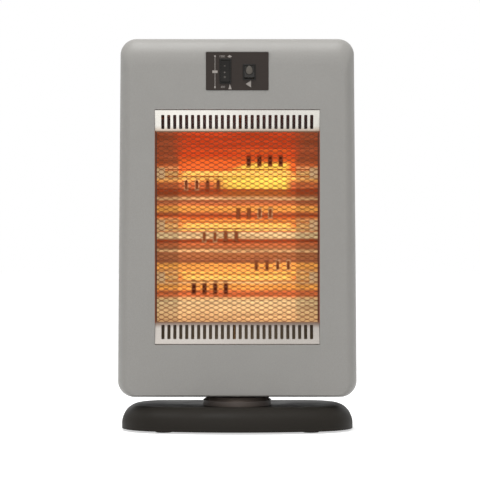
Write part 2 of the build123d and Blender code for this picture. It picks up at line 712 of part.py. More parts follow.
def rocker(place, tilt):
    """Rocker with a shallow V face and round ends, on two short pins, tilted about its pivot."""
    x, z, size = place
    half_x, half_z = pocket_half(size)
    reach = half_z - ROCKER_GAP
    disc = rod_x(-half_x + ROCKER_GAP, 0, 0, 2 * reach, 2 * (half_x - ROCKER_GAP))
    face = Polyline(
        (-ROCKER_CROWN, -reach),
        (-ROCKER_DIP, 0),
        (-ROCKER_CROWN, reach),
        (ROCKER_KEEL, reach),
        (ROCKER_KEEL, -reach),
        close=True,
    )
    cap = disc & extrude(Plane.YZ.offset(-half_x) * make_face(face), 2 * half_x)
    cap += rod_x(-half_x - PIN_REACH, 0, 0, 2 * ROCKER_PIN, 2 * (half_x + PIN_REACH))
    return Pos(x, PIVOT_Y, z) * Rot(tilt, 0, 0) * cap


def swing_rocker():
    """Two-position rocker with an egg-shaped thumb pad, at rest with its upper end pressed in."""
    x, z, size = SWING_SWITCH
    reach = pocket_half(size)[1] - ROCKER_GAP
    tilt = -SWING_SWITCH_TRAVEL / 2
    width, height = PAD_SIZE
    flat_side_at_origin = (Align.CENTER, Align.CENTER, Align.NONE)
    upper_half = Sphere(1, 0, 90, align=flat_side_at_origin)
    lower_half = Sphere(1, -90, 0, align=flat_side_at_origin)
    pad = scale(upper_half, by=(width / 2, PAD_PROUD, PAD_UPPER))
    pad += scale(lower_half, by=(width / 2, PAD_PROUD, height - PAD_UPPER))
    middle = Pos(0, -(ROCKER_CROWN + ROCKER_DIP) / 2, reach - PAD_EDGE - PAD_UPPER)
    return rocker(SWING_SWITCH, tilt) + Pos(x, PIVOT_Y, z) * Rot(tilt, 0, 0) * middle * pad


def base_outline(inset, roll, rear_roll):
    """The base's plan, bowed in front and straight at the back, drawn in by inset and its rolls."""
    half = BASE_LENGTH / 2 - inset - roll
    front = -BASE_DEPTH / 2 + inset + roll
    back = BASE_DEPTH / 2 - inset - rear_roll
    bow = BASE_BOW_RADIUS - inset - roll
    meet = front + bow - math.sqrt(bow**2 - half**2)
    edges = Polyline((half, meet), (half, back), (-half, back), (-half, meet))
    edges += ThreePointArc((-half, meet), (0, front), (half, meet))
    face = make_face(edges)
    face = fillet(face.vertices().sort_by(Axis.Y)[:2], BASE_FRONT_RADIUS - inset - roll)
    rear_radius = BASE_REAR_RADIUS - inset - (roll + rear_roll) / 2
    return fillet(face.vertices().sort_by(Axis.Y)[-2:], rear_radius)


def base_form(inset, top):
    """The base's form with its broad round shoulder, drawn in by inset, up to top."""
    sections = []
    for angle in ROLL_STEPS:
        swept = math.radians(angle)
        share = 1 - math.cos(swept)
        z = BASE_SHOULDER_Z + (top - BASE_SHOULDER_Z) * math.sin(swept)
        outline = base_outline(inset, BASE_SHOULDER * share, BASE_REAR_SHOULDER * share)
        sections.append(Pos(0, 0, z) * outline)
    wall = extrude(Pos(0, 0, BASE_RISE) * base_outline(inset, 0.0, 0.0), BASE_SHOULDER_Z - BASE_RISE)
    return wall + loft(sections)


def neck_screw_places():
    """Where the screws that hold the neck to the base stand, as x and y."""
    places = []
    for angle in (45, 135, 225, 315):
        turn = math.radians(angle)
        places.append((NECK_SCREW_RADIUS * math.cos(turn), NECK_SCREW_RADIUS * math.sin(turn)))
    return places


def shaft_screw_places():
    """Where the screws through the shaft's flange stand, as x and y."""
    reach = SHAFT_SCREW_RADIUS * math.sqrt(0.5)
    return [(a * reach, b * reach) for a in (-1, 1) for b in (-1, 1)]


def base_cover():
    """Upper shell of the base with the neck's seat and screw bosses."""
    hollow = base_form(BASE_WALL, BASE_CEILING)
    for x, y in BASE_SCREW_PLACES:
        hollow -= rod(x, y, BASE_FLOOR, BASE_BOSS_OD, BASE_TOP - BASE_FLOOR)
    cover = base_form(0.0, BASE_TOP) - hollow
    for x, y in BASE_SCREW_PLACES:
        cover -= rod(x, y, BASE_FLOOR - 1, SCREW_SHANK, BASE_SCREW_LENGTH)
    cover -= rod(0, 0, BASE_CEILING - 1, NECK_BORE + 2 * SPIGOT_GAP, BASE_WALL + 2)
    for x, y in neck_screw_places():
        cover -= rod(x, y, BASE_CEILING - 1, SCREW_SHANK + 2 * SCREW_CLEARANCE, BASE_WALL + 2)
    cover -= rod_y(0, BASE_DEPTH / 2 - 12, GROMMET_Z, GROMMET_OD + 2 * GROMMET_GAP, 16)
    seat = grommet_face() - GROMMET_FLANGE_SHEET
    cover -= rod_y(0, seat, GROMMET_Z, GROMMET_FLANGE + 2 * GROMMET_GAP, 4)
    return cover


def neck():
    """Short collar between base and head, with a spigot in the base and a deck for the bush."""
    cone = Cone(NECK_BOTTOM_DIAMETER / 2, NECK_TOP_DIAMETER / 2, NECK_CONE_HEIGHT)
    cone = Pos(0, 0, NECK_TOP - NECK_CONE_HEIGHT / 2) * cone
    wall = fillet(cone.edges().sort_by(Axis.Z)[-1], NECK_ROUND)
    wall += rod(0, 0, BASE_TOP, NECK_BOTTOM_DIAMETER, NECK_TOP - NECK_CONE_HEIGHT - BASE_TOP)
    wall += rod(0, 0, BASE_TOP - NECK_SPIGOT, NECK_BORE, NECK_SPIGOT)
    inside = NECK_BORE - 2 * SPIGOT_WALL
    wall -= rod(0, 0, BASE_TOP - NECK_SPIGOT - 1, inside, NECK_TOP - NECK_DECK - BASE_TOP + NECK_SPIGOT + 1)
    wall += rod(0, 0, BUSH_BOTTOM, HUB_OD + 2 * BUSH_WALL, BUSH_LENGTH - NECK_DECK + 0.5)
    for angle in range(0, 180, 45):
        rib = Box(inside + 1, SPIGOT_WALL, NECK_TOP - NECK_DECK - BUSH_BOTTOM)
        wall += Pos(0, 0, (NECK_TOP - NECK_DECK + BUSH_BOTTOM) / 2) * Rot(0, 0, angle) * rib
    wall -= rod(0, 0, BUSH_BOTTOM - 1, SHAFT_OD + 2 * BUSH_WALL, BUSH_LENGTH + 2)
    for x, y in neck_screw_places():
        wall -= rod(x, y, BASE_TOP - 1, SCREW_SHANK, 9.0)
    return wall


def neck_screws():
    """Four screws from inside the base up into the neck."""
    return [screw_z(x, y, BASE_CEILING, NECK_SCREW_LENGTH) for x, y in neck_screw_places()]


def bearing_bush():
    """Flanged plastic bush that the hollow shaft turns in."""
    top = HEAD_BOTTOM - BUSH_THRUST_GAP
    bush = rod(0, 0, BUSH_BOTTOM, SHAFT_OD + 2 * BUSH_WALL, top - BUSH_BOTTOM)
    bush += rod(0, 0, NECK_TOP, BUSH_FLANGE, top - NECK_TOP)
    return bush - rod(0, 0, BUSH_BOTTOM - 1, SHAFT_OD + 2 * SHAFT_RUNNING_GAP, BUSH_LENGTH + 4)


def swivel_shaft():
    """Hollow shaft that hangs from the head's floor by a flange and carries the sector gear."""
    shaft = rod(0, 0, SHAFT_END_Z, SHAFT_OD, HEAD_FLOOR - SHAFT_END_Z)
    shaft += rod(0, 0, HEAD_FLOOR, SHAFT_FLANGE, SHAFT_FLANGE_SHEET)
    shaft -= rod(0, 0, SHAFT_END_Z - 1, SHAFT_ID, HEAD_FLOOR + SHAFT_FLANGE_SHEET)
    for x, y in shaft_screw_places():
        shaft -= rod(x, y, HEAD_FLOOR - 1, SCREW_SHANK, SHAFT_FLANGE_SHEET + 2)
    return shaft


def shaft_screws():
    """Four studs with round heads that hold the flange to the head's floor."""
    screws = []
    for x, y in shaft_screw_places():
        top = HEAD_FLOOR + SHAFT_FLANGE_SHEET
        screw = rod(x, y, HEAD_BOTTOM + 0.5, SCREW_SHANK, top - HEAD_BOTTOM - 0.5)
        head = rod(x, y, top, SCREW_HEAD, SCREW_HEAD_HEIGHT)
        screws.append(screw + fillet(head.edges().sort_by(Axis.Z)[-1], SCREW_HEAD_ROUND))
    return screws


def involute_gear(teeth, wanted, bore, rotation):
    """Spur gear of the given teeth, or only the wanted ones, as a flat face."""
    pitch = GEAR_MODULE * teeth / 2
    pressure = math.radians(PRESSURE_ANGLE)
    base = pitch * math.cos(pressure)
    tip = pitch + TOOTH_ADDENDUM * GEAR_MODULE
    root = pitch - TOOTH_DEDENDUM * GEAR_MODULE
    start = max(base, root)

    def flank(radius):
        angle = math.acos(base / radius)
        involute = math.tan(angle) - angle
        half = math.pi / (2 * teeth) - TOOTH_BACKLASH / (4 * pitch)
        half += math.tan(pressure) - pressure - involute
        return radius * math.cos(half), radius * math.sin(half)

    low = flank(start)
    middle = flank((start + tip) / 2)
    high = flank(tip)
    foot = (root * 0.97 * low[0] / start, root * 0.97 * low[1] / start)

    def below(point):
        return point[0], -point[1]

    outline = Line(foot, low) + ThreePointArc(low, middle, high) + ThreePointArc(high, (tip, 0), below(high))
    outline += ThreePointArc(below(high), below(middle), below(low)) + Line(below(low), below(foot))
    outline += Line(below(foot), foot)
    tooth = make_face(outline)
    step = 360 / teeth
    face = Circle(root)
    if len(wanted) < teeth:
        span = math.radians(step * (len(wanted) + 0.6) / 2)
        far = tip * 2
        wedge = Polyline((0, 0), (far, -far * math.tan(span)), (far, far * math.tan(span)), close=True)
        face = (face & make_face(wedge)) + Circle(HUB_OD / 2)
    for index in wanted:
        face += Rot(0, 0, rotation + index * step) * tooth
    return face - Circle(bore / 2)


def sector_gear():
    """Toothed sector with a tall hub, fixed on the hollow shaft."""
    face = involute_gear(SECTOR_TEETH, range(-SECTOR_REACH, SECTOR_REACH + 1), SHAFT_OD, 0.0)
    gear = extrude(Pos(0, 0, GEAR_Z) * face, GEAR_FACE)
    hub = rod(0, 0, GEAR_Z, HUB_OD, HUB_TOP - GEAR_Z)
    return gear + hub - rod(0, 0, GEAR_Z - 1, SHAFT_OD, HUB_TOP)


def motor_pinion():
    """Small gear on the motor's shaft."""
    face = involute_gear(PINION_TEETH, range(PINION_TEETH), MOTOR_SHAFT, 0.0)
    pinion = extrude(Pos(0, 0, GEAR_Z) * face, GEAR_FACE)
    return Pos(GEAR_CENTRES, 0, 0) * pinion


def motor_shaft():
    """Shaft that turns in the motor and carries the pinion."""
    low = BASE_FLOOR + MOTOR_HEIGHT - MOTOR_SHAFT_DEPTH
    return rod(GEAR_CENTRES, 0, low, MOTOR_SHAFT, GEAR_Z + GEAR_FACE + 0.6 - low)


def motor_ear_places():
    """Where the motor's two ears are screwed down, as x and y."""
    return [(GEAR_CENTRES, side * MOTOR_EAR_RADIUS) for side in (-1, 1)]


def swing_motor():
    """Flat reversing synchronous motor with two ears."""
    can = rod(GEAR_CENTRES, 0, BASE_FLOOR, MOTOR_DIAMETER, MOTOR_HEIGHT)
    can = fillet(can.edges().sort_by(Axis.Z)[-1], 1.5)
    for x, y in motor_ear_places():
        can += rod(x, y, BASE_FLOOR, MOTOR_EAR, MOTOR_EAR_SHEET)
        half = MOTOR_EAR / 2
        top = BASE_FLOOR + MOTOR_EAR_SHEET
        can += box_between((x - half, min(y, 0), BASE_FLOOR), (x + half, max(y, 0), top))
    for x, y in motor_ear_places():
        can -= rod(x, y, BASE_FLOOR - 1, SCREW_SHANK, MOTOR_EAR_SHEET + 2)
    width, depth, height = MOTOR_PLUG
    back = MOTOR_DIAMETER / 2 + depth / 2
    can += Pos(GEAR_CENTRES, back - depth / 2, base_lead_z()) * Box(width, depth, height)
    low = BASE_FLOOR + MOTOR_HEIGHT - MOTOR_SHAFT_DEPTH - 0.5
    can -= rod(GEAR_CENTRES, 0, low, MOTOR_SHAFT + 2 * SHAFT_RUNNING_GAP, MOTOR_HEIGHT)
    return can


def motor_screws():
    """Two screws through the motor's ears into the base plate."""
    screws = []
    for x, y in motor_ear_places():
        seat = BASE_FLOOR + MOTOR_EAR_SHEET
        screw = rod(x, y, seat - SMALL_SCREW_LENGTH, SCREW_SHANK, SMALL_SCREW_LENGTH)
        head = rod(x, y, seat, SCREW_HEAD, SCREW_HEAD_HEIGHT)
        screws.append(screw + fillet(head.edges().sort_by(Axis.Z)[-1], SCREW_HEAD_ROUND))
    return screws


def swivel_washer():
    """Spring washer between the sector gear's hub and the underside of the neck's hub."""
    return rod(0, 0, HUB_TOP, HUB_OD, WASHER_SHEET) - rod(0, 0, HUB_TOP - 1, SHAFT_OD, WASHER_SHEET + 2)


def swivel_nut():
    """Six-sided nut that clamps the sector gear on the shaft."""
    face = RegularPolygon(NUT_ACROSS / 2, 6) - Circle(SHAFT_OD / 2)
    return extrude(Pos(0, 0, GEAR_Z - NUT_HEIGHT) * face, NUT_HEIGHT)


def base_plate():
    """Underside of the base with its screw holes and the plunger's guide hole."""
    outline = base_outline(BASE_WALL + BASE_PLATE_GAP, 0.0, 0.0)
    plate = extrude(Pos(0, 0, BASE_PLATE_Z) * outline, BASE_PLATE_SHEET)
    for x, y in BASE_SCREW_PLACES:
        plate -= rod(x, y, BASE_PLATE_Z - 1, SCREW_SHANK + 2 * SCREW_CLEARANCE, BASE_PLATE_SHEET + 2)
    for x, y in motor_ear_places() + tip_screw_places():
        plate -= rod(x, y, BASE_FLOOR - 2.5, SCREW_SHANK, 3.0)
    plate -= rod(TIP_X, 0, BASE_PLATE_Z - 1, PLUNGER_DIAMETER + 2 * PLUNGER_GAP, BASE_PLATE_SHEET + 2)
    return plate


def base_screws():
    """Six screws from below that close the base."""
    return [screw_z(x, y, BASE_PLATE_Z, BASE_SCREW_LENGTH) for x, y in BASE_SCREW_PLACES]


def rubber_feet():
    """Four round feet under the base plate."""
    feet = []
    for x, y in FOOT_PLACES:
        foot = rod(x, y, 0, FOOT_DIAMETER, BASE_PLATE_Z)
        feet.append(chamfer(foot.edges().sort_by(Axis.Z)[0], 0.8))
    return feet


def ballast():
    """Steel plate on the base plate, open round the motor, the tip-over switch and the screws."""
    plate = extrude(Pos(0, 0, BASE_FLOOR) * base_outline(BALLAST_MARGIN, 0.0, 0.0), BALLAST_SHEET)
    reach = MOTOR_EAR_RADIUS + MOTOR_EAR / 2 + BALLAST_ROOM
    openings = [rod(GEAR_CENTRES, 0, BASE_FLOOR - 1, 2 * reach, BALLAST_SHEET + 2)]
    width, depth = TIP_SIZE[:2]
    opening = Box(width + 2 * TIP_EAR + 2 * BALLAST_ROOM, depth + 2 * BALLAST_ROOM, 2 * BALLAST_SHEET + 2)
    openings.append(Pos(TIP_X, 0, BASE_FLOOR) * opening)
    width, depth = BLOCK_SIZE[:2]
    opening = Box(width + 2 * BALLAST_ROOM, depth + 2 * BALLAST_ROOM, 2 * BALLAST_SHEET + 2)
    openings.append(Pos(0, base_block_y(), BASE_FLOOR) * opening)
    for x, y in BASE_SCREW_PLACES:
        openings.append(rod(x, y, BASE_FLOOR - 1, BASE_BOSS_OD + 2 * BALLAST_ROOM, BALLAST_SHEET + 2))
    for opening in openings:
        plate -= opening
    return plate


def tip_screw_places():
    """Where the tip-over switch is screwed down, as x and y."""
    reach = TIP_SIZE[0] / 2 + TIP_EAR / 2
    return [(TIP_X - reach, 0), (TIP_X + reach, 0)]


def tip_switch():
    """Housing of the tip-over switch with its plunger bore, spring chamber and ears."""
    width, depth, height = TIP_SIZE
    body = Pos(TIP_X, 0, BASE_FLOOR + height / 2) * Box(width, depth, height)
    body += Pos(TIP_X, 0, BASE_FLOOR + 1) * Box(width + 2 * TIP_EAR, depth * 0.6, 2)
    chamber = PLUNGER_COLLAR + 2 * PLUNGER_GAP
    body -= rod(TIP_X, 0, BASE_FLOOR - 1, chamber, height - 2)
    for x, y in tip_screw_places():
        body -= rod(x, y, BASE_FLOOR - 1, SCREW_SHANK, 4)
    for side in (-1, 1):
        body += spade(TIP_X + side * width / 3, depth / 2 - 0.5, base_lead_z())
    return body


def tip_screws():
    """Two screws that hold the tip-over switch."""
    screws = []
    for x, y in tip_screw_places():
        seat = BASE_FLOOR + 2
        head = rod(x, y, seat, TIP_SCREW_HEAD, SCREW_HEAD_HEIGHT)
        screws.append(rod(x, y, seat - SMALL_SCREW_LENGTH, SCREW_SHANK, SMALL_SCREW_LENGTH) + head)
    return screws


def collar_z():
    """Underside of the plunger's collar when the heater stands on the floor."""
    return BASE_FLOOR + PLUNGER_TRAVEL + 0.3


def tip_plunger():
    """Plunger that the floor holds in; it drops out when the heater is lifted or tips."""
    plunger = rod(TIP_X, 0, 0, PLUNGER_DIAMETER, collar_z() + PLUNGER_COLLAR_HEIGHT + 3)
    plunger = fillet(plunger.edges().sort_by(Axis.Z)[0], 1.0)
    return plunger + rod(TIP_X, 0, collar_z(), PLUNGER_COLLAR, PLUNGER_COLLAR_HEIGHT)


def plunger_spring():
    """Light coil spring above the plunger's collar, one unbroken wire."""
    low = collar_z() + PLUNGER_COLLAR_HEIGHT + SPRING_WIRE / 2 + 0.1
    high = BASE_FLOOR + TIP_SIZE[2] - 3 - SPRING_WIRE / 2 - 0.1
    radius = (PLUNGER_COLLAR - SPRING_WIRE) / 2 - 0.2
    pitch = (high - low) / SPRING_TURNS
    path = Helix(pitch, high - low, radius)
    section = Plane(origin=path @ 0, z_dir=path % 0) * Circle(SPRING_WIRE / 2)
    return Pos(TIP_X, 0, low) * sweep(section, path=path, is_frenet=True)


def grommet_face():
    """Depth of the grommet's outer face, just inside the base's own depth."""
    return BASE_DEPTH / 2 - GROMMET_FACE_SET


def cord_grommet():
    """Flanged rubber inlet for the mains cord in the back of the base."""
    face = grommet_face()
    body = rod_y(0, face - GROMMET_LENGTH, GROMMET_Z, GROMMET_OD, GROMMET_LENGTH)
    body += rod_y(0, face - GROMMET_FLANGE_SHEET, GROMMET_Z, GROMMET_FLANGE, GROMMET_FLANGE_SHEET)
    return body - rod_y(0, face - GROMMET_LENGTH - 1, GROMMET_Z, GROMMET_BORE, GROMMET_LENGTH + 2)


def base_block_y():
    """Depth at which the base's terminal block stands."""
    return BASE_DEPTH / 2 - BASE_BLOCK_SET


def terminal_block(size):
    """Plastic block with three screw terminals, standing on z = 0."""
    width, depth, height = size
    block = Pos(0, 0, height / 2) * Box(width, depth, height)
    block = chamfer(block.edges().filter_by(Axis.Z), 1.0)
    for step in (-1, 0, 1):
        block -= Pos(step * width * POLE_SHARE, 0, height - 2) * Cylinder(2.6, 8)
        block += rod(step * width * POLE_SHARE, 0, height - 6.2, 4.6, 3.0)
    return block


def base_terminal():
    """Where the cord would be connected, inside the back of the base."""
    return Pos(0, base_block_y(), BASE_FLOOR) * terminal_block(BLOCK_SIZE)


def head_terminal():
    """Block over the swivel shaft that the lead from the base comes up into."""
    block = terminal_block(BLOCK_SIZE)
    block -= rod(0, 0, -1, SWIVEL_LEAD + 1.0, BLOCK_SIZE[2] * 0.5)
    return Pos(0, 0, HEAD_FLOOR + SHAFT_FLANGE_SHEET) * block


def lead(points, diameter, radius):
    """Insulated lead along straight runs and arcs."""
    path = FilletPolyline(*points, radius=radius)
    start = Plane(origin=path @ 0, z_dir=path % 0)
    return sweep(start * Circle(diameter / 2), path=path)


def swivel_lead():
    """Lead from the base's terminal block to the swing axis and up through the hollow shaft."""
    start_y = base_block_y() - BLOCK_SIZE[1] / 2
    z = BASE_FLOOR + BALLAST_SHEET + SWIVEL_LEAD / 2 + LEAD_LIFT
    top = HEAD_FLOOR + SHAFT_FLANGE_SHEET + 3.0
    return lead([(0, start_y, z), (0, 0, z), (0, 0, top)], SWIVEL_LEAD, 8.0)


def tube_link(side, offset, low, high):
    """Short lead that joins the ends of two tubes on one side."""
    end = TUBE_LENGTH / 2 - CERAMIC_SOCKET + CERAMIC_LENGTH + CERAMIC_STUB
    y = TUBE_Y + offset
    bow = end + LINK_BOW
    points = [(side * end, y, low), (side * bow, y, low), (side * bow, y, high), (side * end, y, high)]
    return lead(points, LEAD_DIAMETER, 3.0)


def wiring_loom():
    """Leads inside the head, from the terminal block through the cut-out and selector to the tubes."""
    bottom, middle, top = TROUGH_Z
    block_top = HEAD_FLOOR + SHAFT_FLANGE_SHEET + BLOCK_SIZE[2]
    pole = BLOCK_SIZE[0] * POLE_SHARE
    back = REAR_INSIDE - LEAD_DIAMETER - 0.5
    lug = SHIELD_Y + SHIELD_SHEET + CUTOUT_HEIGHT - 0.5 + SPADE[2]
    lug_x = CUTOUT_DIAMETER / 4
    above = WINDOW_TOP - 10.0
    rear = PLATE_FRONT + SWITCH_DEPTH + SPADE[2] - 0.5
    step = (SELECTOR_SIZE[1] - 2 * BEZEL_LIP) * POLE_SHARE
    end = TUBE_LENGTH / 2 - CERAMIC_SOCKET + CERAMIC_LENGTH + CERAMIC_STUB
    side = end + LINK_BOW + 3.0
    near = TUBE_Y + LEAD_OFFSET
    feed = [
        (-pole, 0, block_top), (-pole, 0, block_top + 14), (-pole, back, block_top + 14),
        (-lug_x, back, block_top + 50), (-lug_x, back, top), (-lug_x, lug, top),
    ]
    to_selector = [
        (lug_x, lug, top), (lug_x, back, top), (lug_x, back, above), (lug_x, 0, above),
        (lug_x, 0, SELECTOR_Z + step), (SELECTOR_X, 0, SELECTOR_Z + step), (SELECTOR_X, rear, SELECTOR_Z + step),
    ]
    to_top = [
        (SELECTOR_X, rear, SELECTOR_Z), (SELECTOR_X, 8, SELECTOR_Z), (-70, 8, above + 25),
        (-side, near, above), (-side, near, top), (-end, near, top),
    ]
    to_middle = [
        (SELECTOR_X, rear, SELECTOR_Z - step), (SELECTOR_X, -7, SELECTOR_Z - step), (-70, -2, above + 12),
        (-side, near + 9, above - 12), (-side, near + 9, middle + 30), (-side, near, middle),
        (-end, near, middle),
    ]
    back_home = [
        (pole, 0, block_top), (pole, 0, block_top + 14), (side, near, block_top + 40),
        (side, near, bottom), (end, near, bottom),
    ]
    runs = [(feed, 2.0), (to_selector, 2.0), (to_top, 4.0), (to_middle, 4.0), (back_home, 4.0)]
    leads = [
        lead(points, LEAD_DIAMETER, radius)
        for points, radius in runs
    ]
    leads.append(tube_link(-1, -LEAD_OFFSET, bottom, middle))
    leads.append(tube_link(1, -LEAD_OFFSET, bottom, middle))
    leads.append(tube_link(1, LEAD_OFFSET, middle, top))
    return leads


def base_lead_z():
    """Height of the leads that lie on the ballast."""
    return BASE_FLOOR + BALLAST_SHEET + SPADE[1] / 2 + LEAD_LIFT


def base_leads():
    """Two leads from the terminal block to the tip-over switch and two to the motor."""
    z = base_lead_z()
    block_x = BLOCK_SIZE[0] / 2
    tip_y = TIP_SIZE[1] / 2 - 0.5 + SPADE[2]
    motor_y = MOTOR_DIAMETER / 2 + MOTOR_PLUG[1] / 2
    leads = []
    for side in (-1, 1):
        y = base_block_y() - side * BASE_LEAD_SPREAD
        x = TIP_X + side * TIP_SIZE[0] / 3
        leads.append(lead([(x, tip_y, z), (x, y, z), (-block_x, y, z)], LEAD_DIAMETER, 6.0))
        x = GEAR_CENTRES - side * BASE_LEAD_SPREAD
        leads.append(lead([(x, motor_y, z), (x, y, z), (block_x, y, z)], LEAD_DIAMETER, 6.0))
    return leads


def save(name, shape):
    """Write one node, joining its separate solids into one group."""
    solids = shape if isinstance(shape, list) else [shape]
    group = Compound(children=[solid for item in solids for solid in item.solids()])
    export_step(group, f"parts/{name}.step")


def main():
    """Build every piece and write it to parts."""
    os.makedirs("parts", exist_ok=True)
    save("front_cover", front_cover())
    save("rear_cover", rear_cover())
    save("cover_screws", cover_screws())
    save("control_plate", control_plate())
    save("selector_switch", switch_body(SELECTOR))
    save("selector_rocker", rocker(SELECTOR, 0.0))
    save("swing_switch", switch_body(SWING_SWITCH))
    save("swing_rocker", swing_rocker())
    save("louvre_top", louvre_strip(1))
    save("louvre_bottom", louvre_strip(-1))
    save("guard", guard())
    save("reflector", reflector())
    save("end_plate_left", end_plate(-1))
    save("end_plate_right", end_plate(1))
    save("frame_screws", frame_screws())
    for name, z in zip(TROUGH_NAMES, TROUGH_Z):
        save(f"quartz_tube_{name}", quartz_tube(z))
        save(f"heating_coil_{name}", heating_coil(z))
    save("ceramic_ends", ceramic_ends())
    save("tube_clips", tube_clips())
    save("heat_shield", heat_shield())
    save("shield_screws", shield_screws())
    save("thermal_cutout", thermal_cutout())
    save("head_terminal", head_terminal())
    save("wiring_loom", wiring_loom())
    save("swivel_shaft", swivel_shaft())
    save("shaft_screws", shaft_screws())
    save("sector_gear", sector_gear())
    save("swivel_washer", swivel_washer())
    save("swivel_nut", swivel_nut())
    save("motor_pinion", motor_pinion())
    save("motor_shaft", motor_shaft())
    save("swing_motor", swing_motor())
    save("motor_screws", motor_screws())
    save("base_cover", base_cover())
    save("neck", neck())
    save("neck_screws", neck_screws())
    save("bearing_bush", bearing_bush())
    save("base_plate", base_plate())
    save("base_screws", base_screws())
    save("rubber_feet", rubber_feet())
    save("ballast", ballast())
    save("tip_switch", tip_switch())
    save("tip_screws", tip_screws())
    save("tip_plunger", tip_plunger())
    save("plunger_spring", plunger_spring())
    save("cord_grommet", cord_grommet())
    save("base_terminal", base_terminal())
    save("base_leads", base_leads())
    save("swivel_lead", swivel_lead())


main()
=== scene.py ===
# %% [markdown]
# # A quartz heater that swings on a low foot
# The heater is a flat grey head with a window in its front. Behind the window a folded bright tray holds
# three glowing quartz tubes, and a net of expanded metal guards them. The head turns on a low black foot.
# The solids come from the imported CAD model. This lesson gives them their finishes, and adds what is better
# made as a mesh: the net, the coils of wire in the tubes, and the printed marks on the switches.

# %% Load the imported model
import math

import bmesh
import bpy
from mathutils import Euler, Matrix, Vector
from mathutils.bvhtree import BVHTree


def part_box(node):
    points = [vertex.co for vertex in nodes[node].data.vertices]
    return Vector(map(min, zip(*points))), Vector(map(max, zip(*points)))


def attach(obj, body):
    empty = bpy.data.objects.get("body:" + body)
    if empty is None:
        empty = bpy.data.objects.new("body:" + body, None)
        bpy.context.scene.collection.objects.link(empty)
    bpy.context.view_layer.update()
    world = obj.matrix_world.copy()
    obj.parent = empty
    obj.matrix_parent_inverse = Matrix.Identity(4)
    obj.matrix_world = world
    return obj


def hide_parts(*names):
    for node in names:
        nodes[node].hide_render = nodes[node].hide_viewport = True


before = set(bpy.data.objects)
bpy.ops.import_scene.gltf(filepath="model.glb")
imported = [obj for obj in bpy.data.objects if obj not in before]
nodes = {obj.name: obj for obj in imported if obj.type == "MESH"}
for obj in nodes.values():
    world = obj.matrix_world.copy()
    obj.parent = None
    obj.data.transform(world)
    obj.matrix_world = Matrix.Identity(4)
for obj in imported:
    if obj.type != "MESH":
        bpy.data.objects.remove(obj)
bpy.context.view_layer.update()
MM = 0.001

# %% [markdown]
# ## The camera
# The photograph was taken from far away with a long lens, a little above the middle of the heater: the foot
# shows a thin slice of its top, and the two sides of the head run almost parallel. The camera could be set
# by eye, but a distance and a frame width are easier to check: the lens follows from the two.

# %% Camera
SENSOR = 36.0
CAMERA_DISTANCE = 5.0
CAMERA_RISE = math.radians(2.0)
FRAME_WIDTH = 0.6843
CAMERA_AIM = Vector((0.0039, -0.05, 0.2748))


def make_camera():
    """A long lens that looks slightly down at the middle of the heater."""
    data = bpy.data.cameras.new("long_lens")
    data.sensor_width = SENSOR
    data.lens = SENSOR * CAMERA_DISTANCE / FRAME_WIDTH
    camera = bpy.data.objects.new("long_lens", data)
    bpy.context.scene.collection.objects.link(camera)
    away = Vector((0, -math.cos(CAMERA_RISE), math.sin(CAMERA_RISE)))
    camera.location = CAMERA_AIM + away * CAMERA_DISTANCE
    camera.rotation_euler = (-away).to_track_quat("-Z", "Y").to_euler()
    bpy.context.scene.camera = camera
    return camera


print("the lens is", round(make_camera().data.lens), "mm")

# %% [markdown]
# ## Sums on sockets
# A finish is a set of sums: a mask times a colour, a stripe here and not there. Wiring each sum by hand
# takes many lines, so a small class wraps an output socket and lets Python write the sum. The same class
# serves shader trees and Geometry Nodes trees, because both use the same Math node.


# %% A socket that takes part in Python sums
class Value:
    """An output socket. Each sum on it adds one Math node to its tree."""

    def __init__(self, tree, socket):
        self.tree = tree
        self.socket = socket

    def sum(self, operation, first, second=None):
        """Adds one Math node and gives back its result."""
        node = self.tree.nodes.new("ShaderNodeMath")
        node.operation = operation
        feed(self.tree, node.inputs[0], first)
        feed(self.tree, node.inputs[1], second)
        return Value(self.tree, node.outputs[0])

    def __add__(self, other):
        return self.sum("ADD", self, other)

    def __sub__(self, other):
        return self.sum("SUBTRACT", self, other)

    def __rsub__(self, other):
        return self.sum("SUBTRACT", other, self)

    def __mul__(self, other):
        return self.sum("MULTIPLY", self, other)

    def __truediv__(self, other):
        return self.sum("DIVIDE", self, other)

    def __mod__(self, other):
        return self.sum("FLOORED_MODULO", self, other)

    def __abs__(self):
        return self.sum("ABSOLUTE", self)

    def floor(self):
        return self.sum("FLOOR", self)

    def at_most(self, other):
        return self.sum("MINIMUM", self, other)

    def at_least(self, other):
        return self.sum("MAXIMUM", self, other)

    __radd__ = __add__
    __rmul__ = __mul__


def feed(tree, socket, value):
    """Links a Value into a socket, or writes a plain number, colour or vector there."""
    if isinstance(value, Value):
        tree.links.new(value.socket, socket)
    elif value is not None and socket.type == "RGBA":
        socket.default_value = (*value, 1.0)
    elif value is not None:
        socket.default_value = value


def named(sockets, name):
    """The socket in use with that name, or the one at that number."""
    if isinstance(name, int):
        return sockets[name]
    return next(socket for socket in sockets if socket.name == name and socket.enabled)


# %% [markdown]
# Every other node comes from one method. It takes the node's type, its settings, which are set first because
# they decide which sockets the node has, and then the values or links of its sockets.


# %% One method for every other node
class Recipe:
    """A node tree that is written as Python lines."""

    def __init__(self, tree):
        self.tree = tree

    def node(self, kind, settings=None, inputs=None, output=0):
        """Adds a node, sets it up, feeds its sockets and gives back one of its outputs."""
        node = self.tree.nodes.new(kind)
        for setting, value in (settings or {}).items():
            if setting == "stops":
                set_stops(node.color_ramp, value)
            else:
                setattr(node, setting, value)
        for name, value in (inputs or {}).items():
            feed(self.tree, named(node.inputs, name), value)
        return Value(self.tree, named(node.outputs, output))


